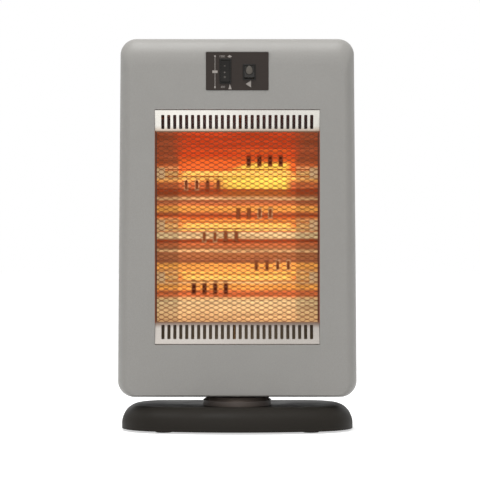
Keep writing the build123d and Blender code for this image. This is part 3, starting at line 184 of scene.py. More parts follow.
def set_stops(ramp, stops):
    """Gives a colour ramp its stops, each a place from 0 to 1 and a colour."""
    ramp.elements.remove(ramp.elements[-1])
    first, *others = sorted(stops)
    ramp.elements[0].position = first[0]
    ramp.elements[0].color = (*first[1], 1.0)
    for place, colour in others:
        ramp.elements.new(place).color = (*colour, 1.0)


# %% [markdown]
# ## The language of finishes
# A finish starts from the place of a point on the object, in metres, and asks for grain of a certain size in
# millimetres. Written that way, the size of a speckle or a brush line can be compared with the real one.
# Colours are written as they look on a screen, from 0 to 255, and turned into linear light once.


# %% Helpers for finishes
def screen(red, green, blue):
    """A colour as it looks on a screen, turned into linear light."""
    parts = (channel / 255 for channel in (red, green, blue))
    return tuple(part / 12.92 if part <= 0.04045 else ((part + 0.055) / 1.055) ** 2.4 for part in parts)


class Finish(Recipe):
    """A material with one Principled shader, described in millimetres on the object itself."""

    def __init__(self, name):
        self.material = bpy.data.materials.new(name)
        self.material.use_nodes = True
        super().__init__(self.material.node_tree)
        self.tree.nodes.clear()
        self.place = self.node("ShaderNodeTexCoord", output="Object")
        self.x, self.y, self.z = (
            self.node("ShaderNodeSeparateXYZ", inputs={0: self.place}, output=axis) for axis in "XYZ"
        )

    def spread(self, size_mm, stretch):
        """The place on the object, scaled so that one unit is that size."""
        scale = tuple(part / (size_mm * MM) for part in stretch)
        return self.node("ShaderNodeMapping", inputs={"Vector": self.place, "Scale": scale})

    def grain(self, size_mm, detail=2.0, stretch=(1, 1, 1)):
        """Soft random grain between 0 and 1, with grains of about that size."""
        inputs = {"Vector": self.spread(size_mm, stretch), "Scale": 1.0, "Detail": detail}
        return self.node("ShaderNodeTexNoise", inputs=inputs)

    def cells(self, size_mm, stretch=(1, 1, 1)):
        """The distance to the centre of the nearest of many cells of about that size."""
        inputs = {"Vector": self.spread(size_mm, stretch), "Scale": 1.0}
        return self.node("ShaderNodeTexVoronoi", inputs=inputs, output="Distance")

    def step(self, value, start, end, low=0.0, high=1.0, way="SMOOTHSTEP"):
        """A step from low to high as the value goes from start to end, smooth or LINEAR."""
        settings = {"interpolation_type": way, "clamp": True}
        inputs = {"Value": value, "From Min": start, "From Max": end, "To Min": low, "To Max": high}
        return self.node("ShaderNodeMapRange", settings, inputs)

    def blend(self, mask, first, second, way="MIX"):
        """The first colour where the mask is 0 and the second where it is 1."""
        settings = {"data_type": "RGBA", "blend_type": way}
        return self.node("ShaderNodeMix", settings, {"Factor": mask, "A": first, "B": second}, "Result")

    def shade(self, colour, mask, dark, light):
        """A colour made darker or lighter by a mask: times dark at 0 and times light at 1."""
        factor = self.step(mask, 0.0, 1.0, dark, light)
        settings = {"operation": "SCALE"}
        return self.node("ShaderNodeVectorMath", settings, {"Vector": colour, "Scale": factor}, "Vector")

    def relief(self, height, depth_mm, under=None):
        """A bump that is that deep where the height is 1, over another bump if there is one."""
        inputs = {"Height": height, "Distance": depth_mm * MM, "Strength": 1.0, "Normal": under}
        return self.node("ShaderNodeBump", inputs=inputs)

    def done(self, inputs):
        """Closes the finish with its shader and gives back the material."""
        shader = self.node("ShaderNodeBsdfPrincipled", inputs=inputs)
        self.node_output(shader)
        return self.material

    def node_output(self, shader):
        """Links a shader to the material's output."""
        output = self.tree.nodes.new("ShaderNodeOutputMaterial")
        feed(self.tree, output.inputs["Surface"], shader)


def finish_nodes(material, *names):
    """Gives CAD nodes a finish through their objects' material slots."""
    for name in names:
        for slot in nodes[name].material_slots:
            slot.material = material
    print(material.name, "is on", ", ".join(names))


# %% [markdown]
# ## Grey paint
# The head's two covers are moulded plastic, painted a satin grey. Such paint has a very fine metallic speckle
# and an orange peel of about a millimetre, which shows only where a light grazes it. The covers meet in a
# narrow joint round the sides: drawing it as a dark line with a groove keeps the CAD covers as they are.

# %% Grey paint
GREY = screen(150, 148, 144)
JOINT_DARK = screen(38, 37, 36)
JOINT_Y = 34.0 * MM
JOINT_HALF = 0.35 * MM


def grey_paint():
    """Satin grey paint with fine speckle, orange peel, and the joint between the covers."""
    paint = Finish("satin_grey_paint")
    joint = paint.step(abs(paint.y - JOINT_Y), JOINT_HALF, 2 * JOINT_HALF, 1.0, 0.0)
    speckle = paint.grain(0.7, detail=1.0)
    cloud = paint.grain(90.0, detail=3.0)
    colour = paint.shade(paint.shade(GREY, speckle, 0.9, 1.1), cloud, 0.97, 1.03)
    colour = paint.blend(joint, colour, JOINT_DARK)
    peel = paint.relief(paint.grain(1.6, detail=1.0), 0.012)
    groove = paint.relief(1.0 - joint, 0.4, under=peel)
    gloss = paint.step(paint.grain(30.0), 0.3, 0.7, 0.40, 0.47)
    inputs = {"Base Color": colour, "Roughness": gloss, "Specular IOR Level": 0.4}
    return paint.done({**inputs, "Normal": groove})


finish_nodes(grey_paint(), "front_cover", "rear_cover")
print("the covers meet at y =", JOINT_Y / MM, "mm")

# %% [markdown]
# ## Black plastic
# The foot is moulded in black plastic. Its mould was spark-eroded, which leaves a fine leather-like texture
# of about half a millimetre, so the plastic shines only softly. The neck, on which the head turns, is
# smoother, and its colour is painted a lighter grey brown: painted light for the light on its front. The
# rockers are darker. One recipe serves all three: a fine noise bump, and a wider noise in the gloss.

# %% Black plastic
FOOT_BLACK = screen(40, 37, 33)
# The neck's grey brown is painted light, lighter than its black plastic.
NECK_PAINTED_LIGHT = screen(84, 75, 69)
SWITCH_BLACK = screen(19, 16, 12)


def black_plastic(name, colour, grain_mm, low, high, shine):
    """Moulded black plastic with a spark-eroded texture, its roughness from low to high."""
    plastic = Finish(name)
    texture = plastic.grain(grain_mm, detail=2.0)
    cloud = plastic.grain(45.0, detail=2.0)
    tone = plastic.shade(plastic.shade(colour, texture, 0.8, 1.2), cloud, 0.9, 1.1)
    gloss = plastic.step(cloud, 0.3, 0.7, low, high)
    inputs = {"Base Color": tone, "Roughness": gloss, "Specular IOR Level": shine}
    return plastic.done({**inputs, "Normal": plastic.relief(texture, 0.03)})


foot_plastic = black_plastic("moulded_black_foot", FOOT_BLACK, grain_mm=0.6, low=0.46, high=0.58, shine=0.1)
neck_plastic = black_plastic("smooth_black_neck", NECK_PAINTED_LIGHT, grain_mm=0.6, low=0.3, high=0.38, shine=0.3)
switch_plastic = black_plastic("switch_black", SWITCH_BLACK, grain_mm=0.35, low=0.34, high=0.42, shine=0.2)
finish_nodes(foot_plastic, "base_cover", "base_plate")
finish_nodes(neck_plastic, "neck")
finish_nodes(switch_plastic, "selector_switch", "selector_rocker", "swing_switch", "tip_switch")

# %% [markdown]
# ## Control plate
# The switches sit in a dark brown moulded plate, with fine brush lines from side to side. Such lines could be
# a picture, but grain that is stretched fifty times along X gives them at any size.

# %% Control plate
PLATE_BROWN = screen(52, 45, 41)


def brushed_plate():
    """Dark moulded plate with fine horizontal brush lines."""
    plate = Finish("brushed_brown_plate")
    lines = plate.grain(0.35, detail=2.0, stretch=(0.02, 1, 1))
    colour = plate.shade(PLATE_BROWN, lines, 0.85, 1.15)
    gloss = plate.step(lines, 0.2, 0.8, 0.38, 0.5)
    inputs = {"Base Color": colour, "Roughness": gloss, "Specular IOR Level": 0.15}
    return plate.done({**inputs, "Normal": plate.relief(lines, 0.01)})


finish_nodes(brushed_plate(), "control_plate")

# %% [markdown]
# ## Highlight painted on the swing rocker
# The right-hand rocker shows a lighter grey egg near its upper end: a painted highlight, where the upper
# half of the rocker catches the light. The rocker is one black CAD solid, so a mask in the egg's own outline
# picks it out: two half ellipses of one width, a tall one above and a short one below.

# %% Highlight painted on the swing rocker
# The grey is a painted highlight on the black rocker.
HIGHLIGHT_GREY = screen(85, 80, 73)
HIGHLIGHT_MIDDLE_X = 17.1 * MM
HIGHLIGHT_WIDEST_Z = 515.4 * MM
HIGHLIGHT_HALF_WIDTH = 4.85 * MM
HIGHLIGHT_UP, HIGHLIGHT_DOWN = 7.5 * MM, 4.95 * MM


def rocker_highlight():
    """Black rocker plastic with a painted highlight: a grey egg near its upper end."""
    rocker = Finish("rocker_with_grey_pad")
    across = (rocker.x - HIGHLIGHT_MIDDLE_X) / HIGHLIGHT_HALF_WIDTH
    rise = rocker.z - HIGHLIGHT_WIDEST_Z
    along = (rise / HIGHLIGHT_UP).at_least(rise / -HIGHLIGHT_DOWN)
    mask = rocker.step(across * across + along * along, 0.9, 1.0, 1.0, 0.0)
    texture = rocker.grain(0.35)
    colour = rocker.shade(rocker.blend(mask, SWITCH_BLACK, HIGHLIGHT_GREY), texture, 0.9, 1.1)
    gloss = rocker.step(texture, 0.2, 0.8, 0.38, 0.5)
    inputs = {"Base Color": colour, "Roughness": gloss, "Specular IOR Level": 0.3}
    return rocker.done({**inputs, "Normal": rocker.relief(texture, 0.02)})


finish_nodes(rocker_highlight(), "swing_rocker")

# %% [markdown]
# ## Bright rolled sheet
# The slotted strips above and below the net are bright aluminium. Rolling leaves long fine lines, here along
# X, that stretch every reflection. The metal mirrors the pale studio, so most of its light is reflection.

# %% Bright rolled sheet
NET_LOW, NET_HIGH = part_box("guard")
WINDOW_MIDDLE_Z = (NET_LOW.z + NET_HIGH.z) / 2
NET_EDGE = (NET_HIGH.z - NET_LOW.z) / 2
# Near the net both strips are painted darker: painted shadow, the hem's shadow on the lower strip.
PAINTED_SHADOW_HEIGHT = 8 * MM
# The lower strip is painted darker than the upper: a painted reflection of the dark foot.
LOWER_UNSHADOWED, UPPER_UNSHADOWED = screen(168, 162, 156), screen(206, 203, 196)
LOWER_PAINTED_SHADOW, UPPER_PAINTED_SHADOW = screen(120, 104, 94), screen(180, 166, 152)
print("the net is", round(2 * NET_EDGE / MM, 1), "mm high")


def bright_sheet():
    """Bright rolled aluminium with lines along X; painted shadow near the net, painted reflection darker
    below and right.
    """
    sheet = Finish("bright_rolled_sheet")
    lines = sheet.grain(0.5, detail=3.0, stretch=(0.015, 1, 1))
    cloud = sheet.grain(25.0, detail=2.0)
    rise = sheet.z - WINDOW_MIDDLE_Z
    upper = sheet.step(rise, -10 * MM, 10 * MM)
    clear = sheet.step(abs(rise), NET_EDGE, NET_EDGE + PAINTED_SHADOW_HEIGHT)
    shadowed_metal = sheet.blend(upper, LOWER_PAINTED_SHADOW, UPPER_PAINTED_SHADOW)
    metal = sheet.blend(clear, shadowed_metal, sheet.blend(upper, LOWER_UNSHADOWED, UPPER_UNSHADOWED))
    # The right ends are painted darker: a painted reflection of a darker part of the room.
    right = sheet.step(sheet.x, NET_LOW.x, NET_HIGH.x)
    metal = sheet.shade(sheet.shade(metal, right, 1.04, 0.86), lines, 0.94, 1.04)
    metal = sheet.shade(metal, cloud, 0.95, 1.03)
    gloss = sheet.step(lines, 0.2, 0.8, 0.26, 0.36)
    inputs = {"Base Color": metal, "Metallic": 1.0, "Roughness": gloss}
    return sheet.done({**inputs, "Normal": sheet.relief(lines, 0.006)})


finish_nodes(bright_sheet(), "louvre_top", "louvre_bottom")

# %% [markdown]
# ## The glowing tray
# The tray behind the tubes is polished and folded into three troughs. When the heater is on, each slope
# mirrors the coils, so the tray shows horizontal bands: gold beside a tube, orange on the slopes, dark ember
# at the ridges between two troughs. Real mirror images of small bright coils need very many samples, so
# the bands are painted as emission instead. Each band is placed from the middle of a tube, in millimetres.
# Past the ends of the coils the tray mirrors the pale ceramic ends and brown metal. The pressed rims round
# the short vents turn away from the coils, so they look dark, some more than others. The upper trough has
# one hotter stretch, where the mirrored coil fills the whole slope with gold.

# %% The bands of the glow
COIL_HALF = 84.5 * MM
RIDGE = 37.5 * MM
# The tray's metal is painted a dark warm brown: painted shade in place of the pale room it would mirror.
TRAY_SHADED_METAL = screen(92, 48, 28)
UNLIT_RIM = screen(72, 22, 8)
CREAM = screen(182, 138, 90)
UMBER = screen(118, 62, 38)
END_TINT = (0.64, 0.71, 0.74)
BRICK = screen(140, 54, 27)
COPPER = screen(200, 100, 56)
CLAY = screen(150, 88, 56)
RUST = screen(186, 57, 23)
ORANGE = screen(226, 92, 34)
AMBER = screen(247, 163, 76)
GOLD = screen(255, 216, 104)
SUN = screen(255, 218, 88)
STRAW = screen(221, 173, 117)
PALE = screen(216, 185, 133)
BANDS = {
    "bottom": (
        (-60, STRAW), (-34, PALE), (-31, STRAW), (-28, COPPER), (-22, COPPER), (-17, AMBER), (-12, AMBER),
        (-9, STRAW), (-6, GOLD), (3, GOLD), (7, AMBER), (17, AMBER), (21, CLAY), (35, CLAY), (37, STRAW),
    ),
    "middle": (
        (-37, STRAW), (-34, CLAY), (-28, COPPER), (-25, BRICK), (-22, BRICK), (-19, PALE), (-12, PALE),
        (-10, COPPER), (-8, GOLD), (-2, GOLD), (4, AMBER), (10, ORANGE), (13, BRICK), (16, COPPER),
        (20, AMBER), (25, AMBER), (29, COPPER), (33, CLAY), (35, BRICK), (37, STRAW),
    ),
    "top": (
        (-37, STRAW), (-34, CLAY), (-31, BRICK), (-24, BRICK), (-22, COPPER), (-16, COPPER), (-11, AMBER),
        (-6, GOLD), (2, GOLD), (4, ORANGE), (17, ORANGE), (24, RUST), (56, RUST),
    ),
}
TUBE_Z = {trough: sum(corner.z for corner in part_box("quartz_tube_" + trough)) / 2 for trough in BANDS}
BAND_LIFT = 0.8 * MM
print("tube heights in mm", {trough: round(z / MM, 1) for trough, z in TUBE_Z.items()})


def trough_bands(tray, trough, height):
    """The ramp of one trough's bands, read at that height."""
    offsets = [offset * MM for offset, _ in BANDS[trough]]
    low, high = min(offsets), max(offsets)
    stops = [((offset - low) / (high - low), colour) for offset, (_, colour) in zip(offsets, BANDS[trough])]
    middle = TUBE_Z[trough] + BAND_LIFT
    place = tray.step(height, middle + low, middle + high, way="LINEAR")
    return tray.node("ShaderNodeValToRGB", {"stops": stops}, {0: place})


# %% The hotter stretch of the upper trough
HOT_LEFT, HOT_RIGHT = (-40 * MM, 0.0), (66 * MM, 80 * MM)
HOT_FLOOR, HOT_CEILING = (-24 * MM, -22 * MM), (-4 * MM, 3 * MM)
HOT_SLOPE, HOT_CLIMB = (-25 * MM, 30 * MM), (3 * MM, 15 * MM)
HOT_SHARE = 0.85


def hot_stretch(tray, height):
    """A mask of the hotter stretch, whose upper edge climbs to the right."""
    rise = height - TUBE_Z["top"]
    top_edge = tray.step(tray.x, *HOT_SLOPE, *HOT_CLIMB)
    upright = tray.step(rise, *HOT_FLOOR) * tray.step(rise - top_edge, *HOT_CEILING, 1.0, 0.0)
    across = tray.step(tray.x, *HOT_LEFT) * tray.step(tray.x, *HOT_RIGHT, 1.0, 0.0)
    return upright * across * HOT_SHARE


# %% [markdown]
# Six groups of four vents are pressed into the slopes. Each group is told by the x of the vent nearest to
# the heater's middle, its height, how dark the painted shade on its rims is, and how pale the painted
# highlights on the far two of its rims turn.

# %% The rims of the vents
VENT_PITCH = 15.4 * MM
VENT_RISE = 17.0 * MM
VENTS = 4
RIM_SIDE, RIM_END = (2.5 * MM, 4.0 * MM), (6.8 * MM, 9.5 * MM)
VENT_GROUPS = (
    (16.5 * MM, TUBE_Z["top"] + VENT_RISE, 0.95, 0.0),
    (-27.5 * MM, TUBE_Z["top"] - VENT_RISE, 0.5, 0.7),
    (1.4 * MM, TUBE_Z["middle"] + VENT_RISE, 0.8, 0.6),
    (-1.4 * MM, TUBE_Z["middle"] - VENT_RISE, 0.8, 0.5),
    (27.5 * MM, TUBE_Z["bottom"] + VENT_RISE, 0.5, 0.7),
    (-16.5 * MM, TUBE_Z["bottom"] - VENT_RISE, 0.95, 0.0),
)


def vent_rims(tray, glow, first_x, z, depth, turned):
    """The rims round a group of vents: painted shade, with painted highlights on the far two where they are
    turned.
    """
    from_first = tray.x - first_x if first_x > 0 else first_x - tray.x
    from_vent = abs((from_first + VENT_PITCH / 2) % VENT_PITCH - VENT_PITCH / 2)
    from_middle = abs(from_first - (VENTS - 1) / 2 * VENT_PITCH)
    inside = tray.step(from_middle, (VENTS / 2 - 0.1) * VENT_PITCH, VENTS / 2 * VENT_PITCH, 1.0, 0.0)
    rim = tray.step(from_vent, *RIM_SIDE, 1.0, 0.0)
    mask = inside * rim * tray.step(abs(tray.z - z), *RIM_END, 1.0, 0.0) * depth
    far = tray.step(from_first, 1.3 * VENT_PITCH, 1.7 * VENT_PITCH) * turned
    # The dark rims are painted shade in the glow, and the pale far rims are painted highlights.
    return tray.blend(mask, glow, tray.blend(far, UNLIT_RIM, PALE))


print("vent groups start at x in mm", [round(group[0] / MM, 1) for group in VENT_GROUPS])


# %% The whole tray
def end_glow(tray, height, glow):
    """The bands past the coils, browner, with a pale cream beside the ceramic ends."""
    pitch = TUBE_Z["top"] - TUBE_Z["middle"]
    from_tube = abs((height - TUBE_Z["bottom"] + pitch / 2) % pitch - pitch / 2)
    beside = tray.step(from_tube, 6 * MM, 13 * MM, 0.75, 0.0)
    glow = tray.blend(beside, tray.blend(1.0, glow, END_TINT, "MULTIPLY"), CREAM)
    above = tray.step(height, TUBE_Z["top"] + 8 * MM, TUBE_Z["top"] + 16 * MM, 0.0, 0.8)
    return tray.blend(above, glow, UMBER)


def glowing_tray():
    """Polished metal painted a dark warm brown as painted shade, with the bands of the coils' glow."""
    tray = Finish("glowing_polished_tray")
    wobble = tray.grain(14.0, detail=2.0, stretch=(0.3, 1, 1)) - 0.5
    height = tray.z + wobble * (3 * MM)
    glow = trough_bands(tray, "bottom", height)
    for trough in ("middle", "top"):
        ridge = TUBE_Z[trough] - RIDGE
        past = tray.step(height, ridge - MM, ridge + MM)
        glow = tray.blend(past, glow, trough_bands(tray, trough, height))
    glow = tray.blend(hot_stretch(tray, height), glow, SUN)
    reach = abs(tray.x) + wobble * (4 * MM)
    soft = tray.step(height, TUBE_Z["top"] + 12 * MM, TUBE_Z["top"] + 40 * MM, 2 * MM, 16 * MM)
    end = tray.step(reach, COIL_HALF - soft, COIL_HALF + soft)
    glow = tray.blend(end, glow, end_glow(tray, height, glow))
    for group in VENT_GROUPS:
        glow = vent_rims(tray, glow, *group)
    ripple = tray.step(tray.grain(4.0, detail=2.0, stretch=(0.05, 1, 1)), 0.3, 0.7)
    glow = tray.shade(tray.shade(glow, ripple, 0.78, 1.22), tray.grain(7.0, detail=3.0), 0.85, 1.15)
    lines = tray.grain(0.6, detail=2.0, stretch=(0.02, 1, 1))
    colour = tray.shade(TRAY_SHADED_METAL, lines, 0.85, 1.15)
    gloss = tray.step(lines, 0.2, 0.8, 0.25, 0.38)
    inputs = {"Base Color": colour, "Metallic": 1.0, "Roughness": gloss, "Emission Color": glow}
    return tray.done({**inputs, "Emission Strength": 1.12, "Normal": tray.relief(lines, 0.01)})


def end_plate():
    """The plates that close the tray: warm brown metal, with a painted glow for the tray's light on them."""
    plate = Finish("warm_end_plate")
    heat = plate.grain(18.0, detail=3.0)
    colour = plate.shade(screen(120, 70, 48), heat, 0.8, 1.2)
    # The emission is painted light: the glow of the tray falling on the plates.
    glow = plate.shade(screen(110, 50, 28), heat, 0.7, 1.3)
    inputs = {"Base Color": colour, "Metallic": 1.0, "Roughness": 0.38, "Emission Color": glow}
    return plate.done({**inputs, "Emission Strength": 0.6, "Normal": plate.relief(heat, 0.05)})


finish_nodes(glowing_tray(), "reflector")
finish_nodes(end_plate(), "end_plate_left", "end_plate_right")

# %% [markdown]
# ## Tubes and their ends
# A quartz tube is clear silica, drawn at great heat, with faint long draw lines. Inside, a coil of
# resistance wire glows orange to yellow, a little darker at its ends, where the ceramic caps cool it. The
# caps are unglazed ceramic, slightly rough and speckled.


# %% Quartz, hot wire and ceramic
CLEAR_SILICA = (0.98, 0.93, 0.86)
WIRE_HOT, WIRE_COOLER, WIRE_METAL = screen(255, 196, 96), screen(226, 96, 34), screen(70, 50, 40)
CERAMIC_PALE, CERAMIC_SCORCHED = screen(206, 190, 168), screen(170, 140, 112)
CERAMIC_PAINTED_GLOW = screen(215, 175, 110)


def quartz():
    """Clear silica tube with faint draw lines."""
    glass = Finish("drawn_quartz")
    lines = glass.grain(0.8, detail=1.0, stretch=(0.02, 1, 1))
    inputs = {"Base Color": CLEAR_SILICA, "Transmission Weight": 1.0, "IOR": 1.46}
    inputs.update({"Specular IOR Level": 0.15, "Specular Tint": (0.5, 0.35, 0.25)})
    gloss = glass.step(lines, 0.2, 0.8, 0.04, 0.12)
    return glass.done({**inputs, "Roughness": gloss, "Normal": glass.relief(lines, 0.01)})


def hot_wire():
    """Resistance wire that glows, less so at the cooler ends of the coil."""
    wire = Finish("glowing_wire")
    cool = wire.step(abs(wire.x), COIL_HALF - 14 * MM, COIL_HALF)
    flicker = wire.grain(6.0, detail=2.0)
    glow = wire.blend(cool, WIRE_HOT, WIRE_COOLER)
    inputs = {"Base Color": WIRE_METAL, "Roughness": 0.6, "Emission Strength": 1.3}
    return wire.done({**inputs, "Emission Color": wire.shade(glow, flicker, 0.85, 1.15)})


def ceramic():
    """Unglazed ceramic with fine speckle and scorch, and a painted glow for the light of the coils on it."""
    cap = Finish("unglazed_ceramic")
    speckle = cap.grain(0.5, detail=2.0)
    scorch = cap.grain(9.0, detail=3.0)
    colour = cap.shade(cap.blend(scorch, CERAMIC_PALE, CERAMIC_SCORCHED), speckle, 0.88, 1.1)
    # The emission is painted light: the glow of the coils and tray falling on the caps.
    glow = cap.shade(CERAMIC_PAINTED_GLOW, scorch, 0.8, 1.1)
    inputs = {"Base Color": colour, "Roughness": 0.72, "Emission Color": glow, "Emission Strength": 0.5}
    return cap.done({**inputs, "Normal": cap.relief(speckle, 0.03)})


finish_nodes(quartz(), "quartz_tube_bottom", "quartz_tube_middle", "quartz_tube_top")
finish_nodes(ceramic(), "ceramic_ends")
hot_wire_finish = hot_wire()

# %% [markdown]
# ## Steel, nylon, rubber and wire skins
# The parts inside and below the heater have plainer jobs, and each still has its own surface. Zinc-plated
# steel shows a fine blotchy passivation. The ballast is mill steel with blue-black scale. Gears are milky
# nylon, the feet are matt rubber, and the leads wear braided or smooth skins.


# %% Steels
ZINC_COOL, ZINC_WARM = screen(176, 178, 178), screen(196, 194, 182)
# The shield's side towards the tray is painted dark as painted shade, with a painted glow of the tubes'
# light, brighter in the middle.
SHIELD_PAINTED_SHADE = screen(60, 34, 22)
EDGE_PAINTED_GLOW, MIDDLE_PAINTED_GLOW = screen(58, 18, 6), screen(130, 66, 36)
SCALE_BLUE, SCALE_BROWN = screen(62, 64, 70), screen(96, 90, 86)
SHIELD_FRONT_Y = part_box("heat_shield")[0].y


def zinc_steel():
    """Bright zinc plating with faint blotches."""
    steel = Finish("zinc_plate")
    blotch = steel.grain(3.0, detail=3.0)
    gloss = steel.step(blotch, 0.3, 0.7, 0.28, 0.42)
    inputs = {"Base Color": steel.blend(blotch, ZINC_COOL, ZINC_WARM), "Metallic": 1.0, "Roughness": gloss}
    return steel.done({**inputs, "Normal": steel.relief(steel.grain(0.4), 0.008)})


def shield_steel():
    """Zinc-plated steel, its side towards the tray painted dark brown as painted shade, with a painted glow
    there.
    """
    steel = Finish("scorched_zinc_plate")
    blotch = steel.grain(3.0, detail=3.0)
    front = steel.step(steel.y, SHIELD_FRONT_Y + 0.2 * MM, SHIELD_FRONT_Y + 0.6 * MM, 1.0, 0.0)
    tone = steel.blend(front, steel.blend(blotch, ZINC_COOL, ZINC_WARM), SHIELD_PAINTED_SHADE)
    gloss = steel.step(blotch, 0.3, 0.7, 0.34, 0.5)
    middle = steel.step(abs(steel.z - WINDOW_MIDDLE_Z), 50 * MM, 70 * MM, 1.0, 0.0)
    glow = steel.blend(front, (0, 0, 0), steel.blend(middle, EDGE_PAINTED_GLOW, MIDDLE_PAINTED_GLOW))
    inputs = {"Base Color": tone, "Metallic": 0.9, "Roughness": gloss, "Emission Color": glow}
    return steel.done({**inputs, "Emission Strength": 1.0, "Normal": steel.relief(steel.grain(0.4), 0.008)})


def mill_steel():
    """Hot-rolled plate with scale."""
    steel = Finish("mill_scale")
    scale = steel.grain(7.0, detail=4.0)
    gloss = steel.step(scale, 0.3, 0.7, 0.4, 0.62)
    inputs = {"Base Color": steel.blend(scale, SCALE_BLUE, SCALE_BROWN), "Metallic": 0.8, "Roughness": gloss}
    return steel.done({**inputs, "Normal": steel.relief(scale, 0.06)})


finish_nodes(shield_steel(), "heat_shield")
finish_nodes(
    zinc_steel(), "cover_screws", "frame_screws", "tube_clips", "shield_screws",
    "thermal_cutout", "swivel_shaft", "shaft_screws", "swivel_washer", "swivel_nut", "motor_shaft",
    "swing_motor", "motor_screws", "neck_screws", "base_screws", "tip_screws", "plunger_spring",
)
finish_nodes(mill_steel(), "ballast")

# %% Mouldings and wire skins
NYLON_MILK, BLOCK_CREAM = screen(214, 208, 190), screen(206, 196, 172)
RUBBER_BLACK, LEAD_BLACK = screen(34, 33, 32), screen(30, 29, 28)
BRAID_PALE, BRAID_BROWN = screen(196, 182, 156), screen(150, 116, 84)


def moulding(name, colour, grain_mm, gloss, depth_mm):
    """A plain moulding: nylon, rubber or a terminal block, by its colour, grain and gloss."""
    part = Finish(name)
    texture = part.grain(grain_mm, detail=3.0)
    cloud = part.grain(grain_mm * 30, detail=2.0)
    tone = part.shade(part.shade(colour, texture, 0.88, 1.12), cloud, 0.94, 1.06)
    rough = part.step(cloud, 0.3, 0.7, gloss, gloss + 0.1)
    return part.done({"Base Color": tone, "Roughness": rough, "Normal": part.relief(texture, depth_mm)})


def braid():
    """Glass-fibre braid over the hot leads."""
    skin = Finish("glass_braid")
    wave = skin.cells(0.9, stretch=(1, 1, 0.6))
    tone = skin.blend(skin.step(wave, 0.2, 0.8), BRAID_PALE, BRAID_BROWN)
    return skin.done({"Base Color": tone, "Roughness": 0.85, "Normal": skin.relief(1.0 - wave, 0.15)})


nylon = moulding("milky_nylon", NYLON_MILK, grain_mm=0.8, gloss=0.36, depth_mm=0.01)
rubber = moulding("matt_rubber", RUBBER_BLACK, grain_mm=0.5, gloss=0.72, depth_mm=0.04)
block = moulding("cream_block", BLOCK_CREAM, grain_mm=0.6, gloss=0.42, depth_mm=0.02)
lead = moulding("black_lead", LEAD_BLACK, grain_mm=0.4, gloss=0.45, depth_mm=0.01)
finish_nodes(nylon, "sector_gear", "motor_pinion", "bearing_bush")
finish_nodes(rubber, "rubber_feet", "cord_grommet")
finish_nodes(block, "head_terminal", "base_terminal", "tip_plunger")
finish_nodes(lead, "swivel_lead")
finish_nodes(braid(), "wiring_loom", "base_leads")

# %% [markdown]
# ## Meshes that follow a rule
# The net and the coils repeat one small shape many times. They could be built point by point in Python, but
# Geometry Nodes say the rule itself: how long, how wide, how many. A tree gets named sizes, runs once on an
# empty object, and its result is kept as a plain mesh, because the exported model has no instances.


# %% Helpers for Geometry Nodes
class Rule(Recipe):
    """A Geometry Nodes tree with named sizes, which ends in one realized mesh."""

    def __init__(self, name, sizes):
        super().__init__(bpy.data.node_groups.new(name, "GeometryNodeTree"))
        self.sizes = sizes
        self.inputs = self.tree.nodes.new("NodeGroupInput")
        for label, size in sizes.items():
            kind = "NodeSocketInt" if isinstance(size, int) else "NodeSocketFloat"
            self.tree.interface.new_socket(label, in_out="INPUT", socket_type=kind)
        self.tree.interface.new_socket("Mesh", in_out="OUTPUT", socket_type="NodeSocketGeometry")

    def size(self, label):
        """One of the named sizes, as a socket of the tree."""
        return Value(self.tree, named(self.inputs.outputs, label))

    def vector(self, x=0.0, y=0.0, z=0.0):
        """A vector from three sums or numbers."""
        return self.node("ShaderNodeCombineXYZ", inputs={"X": x, "Y": y, "Z": z})

    def grow(self, shape, material):
        """Runs the tree on an empty object and gives back its mesh."""
        whole = self.node("GeometryNodeRealizeInstances", inputs={"Geometry": shape})
        done = self.node("GeometryNodeSetMaterial", inputs={"Geometry": whole, "Material": material})
        feed(self.tree, self.tree.nodes.new("NodeGroupOutput").inputs[0], done)
        host = bpy.data.objects.new(self.tree.name, bpy.data.meshes.new(self.tree.name))
        bpy.context.scene.collection.objects.link(host)
        modifier = host.modifiers.new("rule", "NODES")
        modifier.node_group = self.tree
        for item in self.tree.interface.items_tree:
            if item.in_out == "INPUT":
                modifier[item.identifier] = self.sizes[item.name]
        graph = bpy.context.evaluated_depsgraph_get()
        mesh = bpy.data.meshes.new_from_object(host.evaluated_get(graph), depsgraph=graph)
        bpy.data.objects.remove(host)
        return mesh


def add_piece(name, mesh, body, replaced=()):
    """Puts a finished mesh into the scene as a piece that rides on a body."""
    mesh.name = name
    thing = bpy.data.objects.new(name, mesh)
    bpy.context.scene.collection.objects.link(thing)
    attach(thing, body)
    if replaced:
        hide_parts(*replaced)
    triangles = sum(len(face.vertices) - 2 for face in mesh.polygons)
    print(name, "has", triangles, "triangles")


# %% [markdown]
# ## The net
# Expanded metal starts as a plain sheet with rows of short slits, pulled until every slit opens into a
# diamond. Each strand between two rows of slits becomes a wave: straight where it is still joined to the
# next one, slanting between. So the net is made as the real one grows: one wave, swept along as a flat
# ribbon, set above the last and turned upside down, so that its crests meet the next one's hollows. The
# ribbon is tilted a little, as pulling twists it. A flat hem frames the net.

# %% The finish of the net
HEM = 2.0 * MM
NET_BROWN = screen(122, 66, 38)
HEM_PAINTED_REFLECTION, HEM_PAINTED_SHADE = screen(118, 92, 74), screen(78, 44, 31)


def net_metal():
    """Plated steel, coloured a dark red brown."""
    net = Finish("heat_browned_net")
    blotch = net.grain(5.0, detail=2.0)
    gloss = net.step(blotch, 0.3, 0.7, 0.42, 0.55)
    inputs = {"Base Color": net.shade(NET_BROWN, blotch, 0.85, 1.15), "Metallic": 0.6, "Roughness": gloss}
    return net.done({**inputs, "Normal": net.relief(net.grain(0.6), 0.01)})


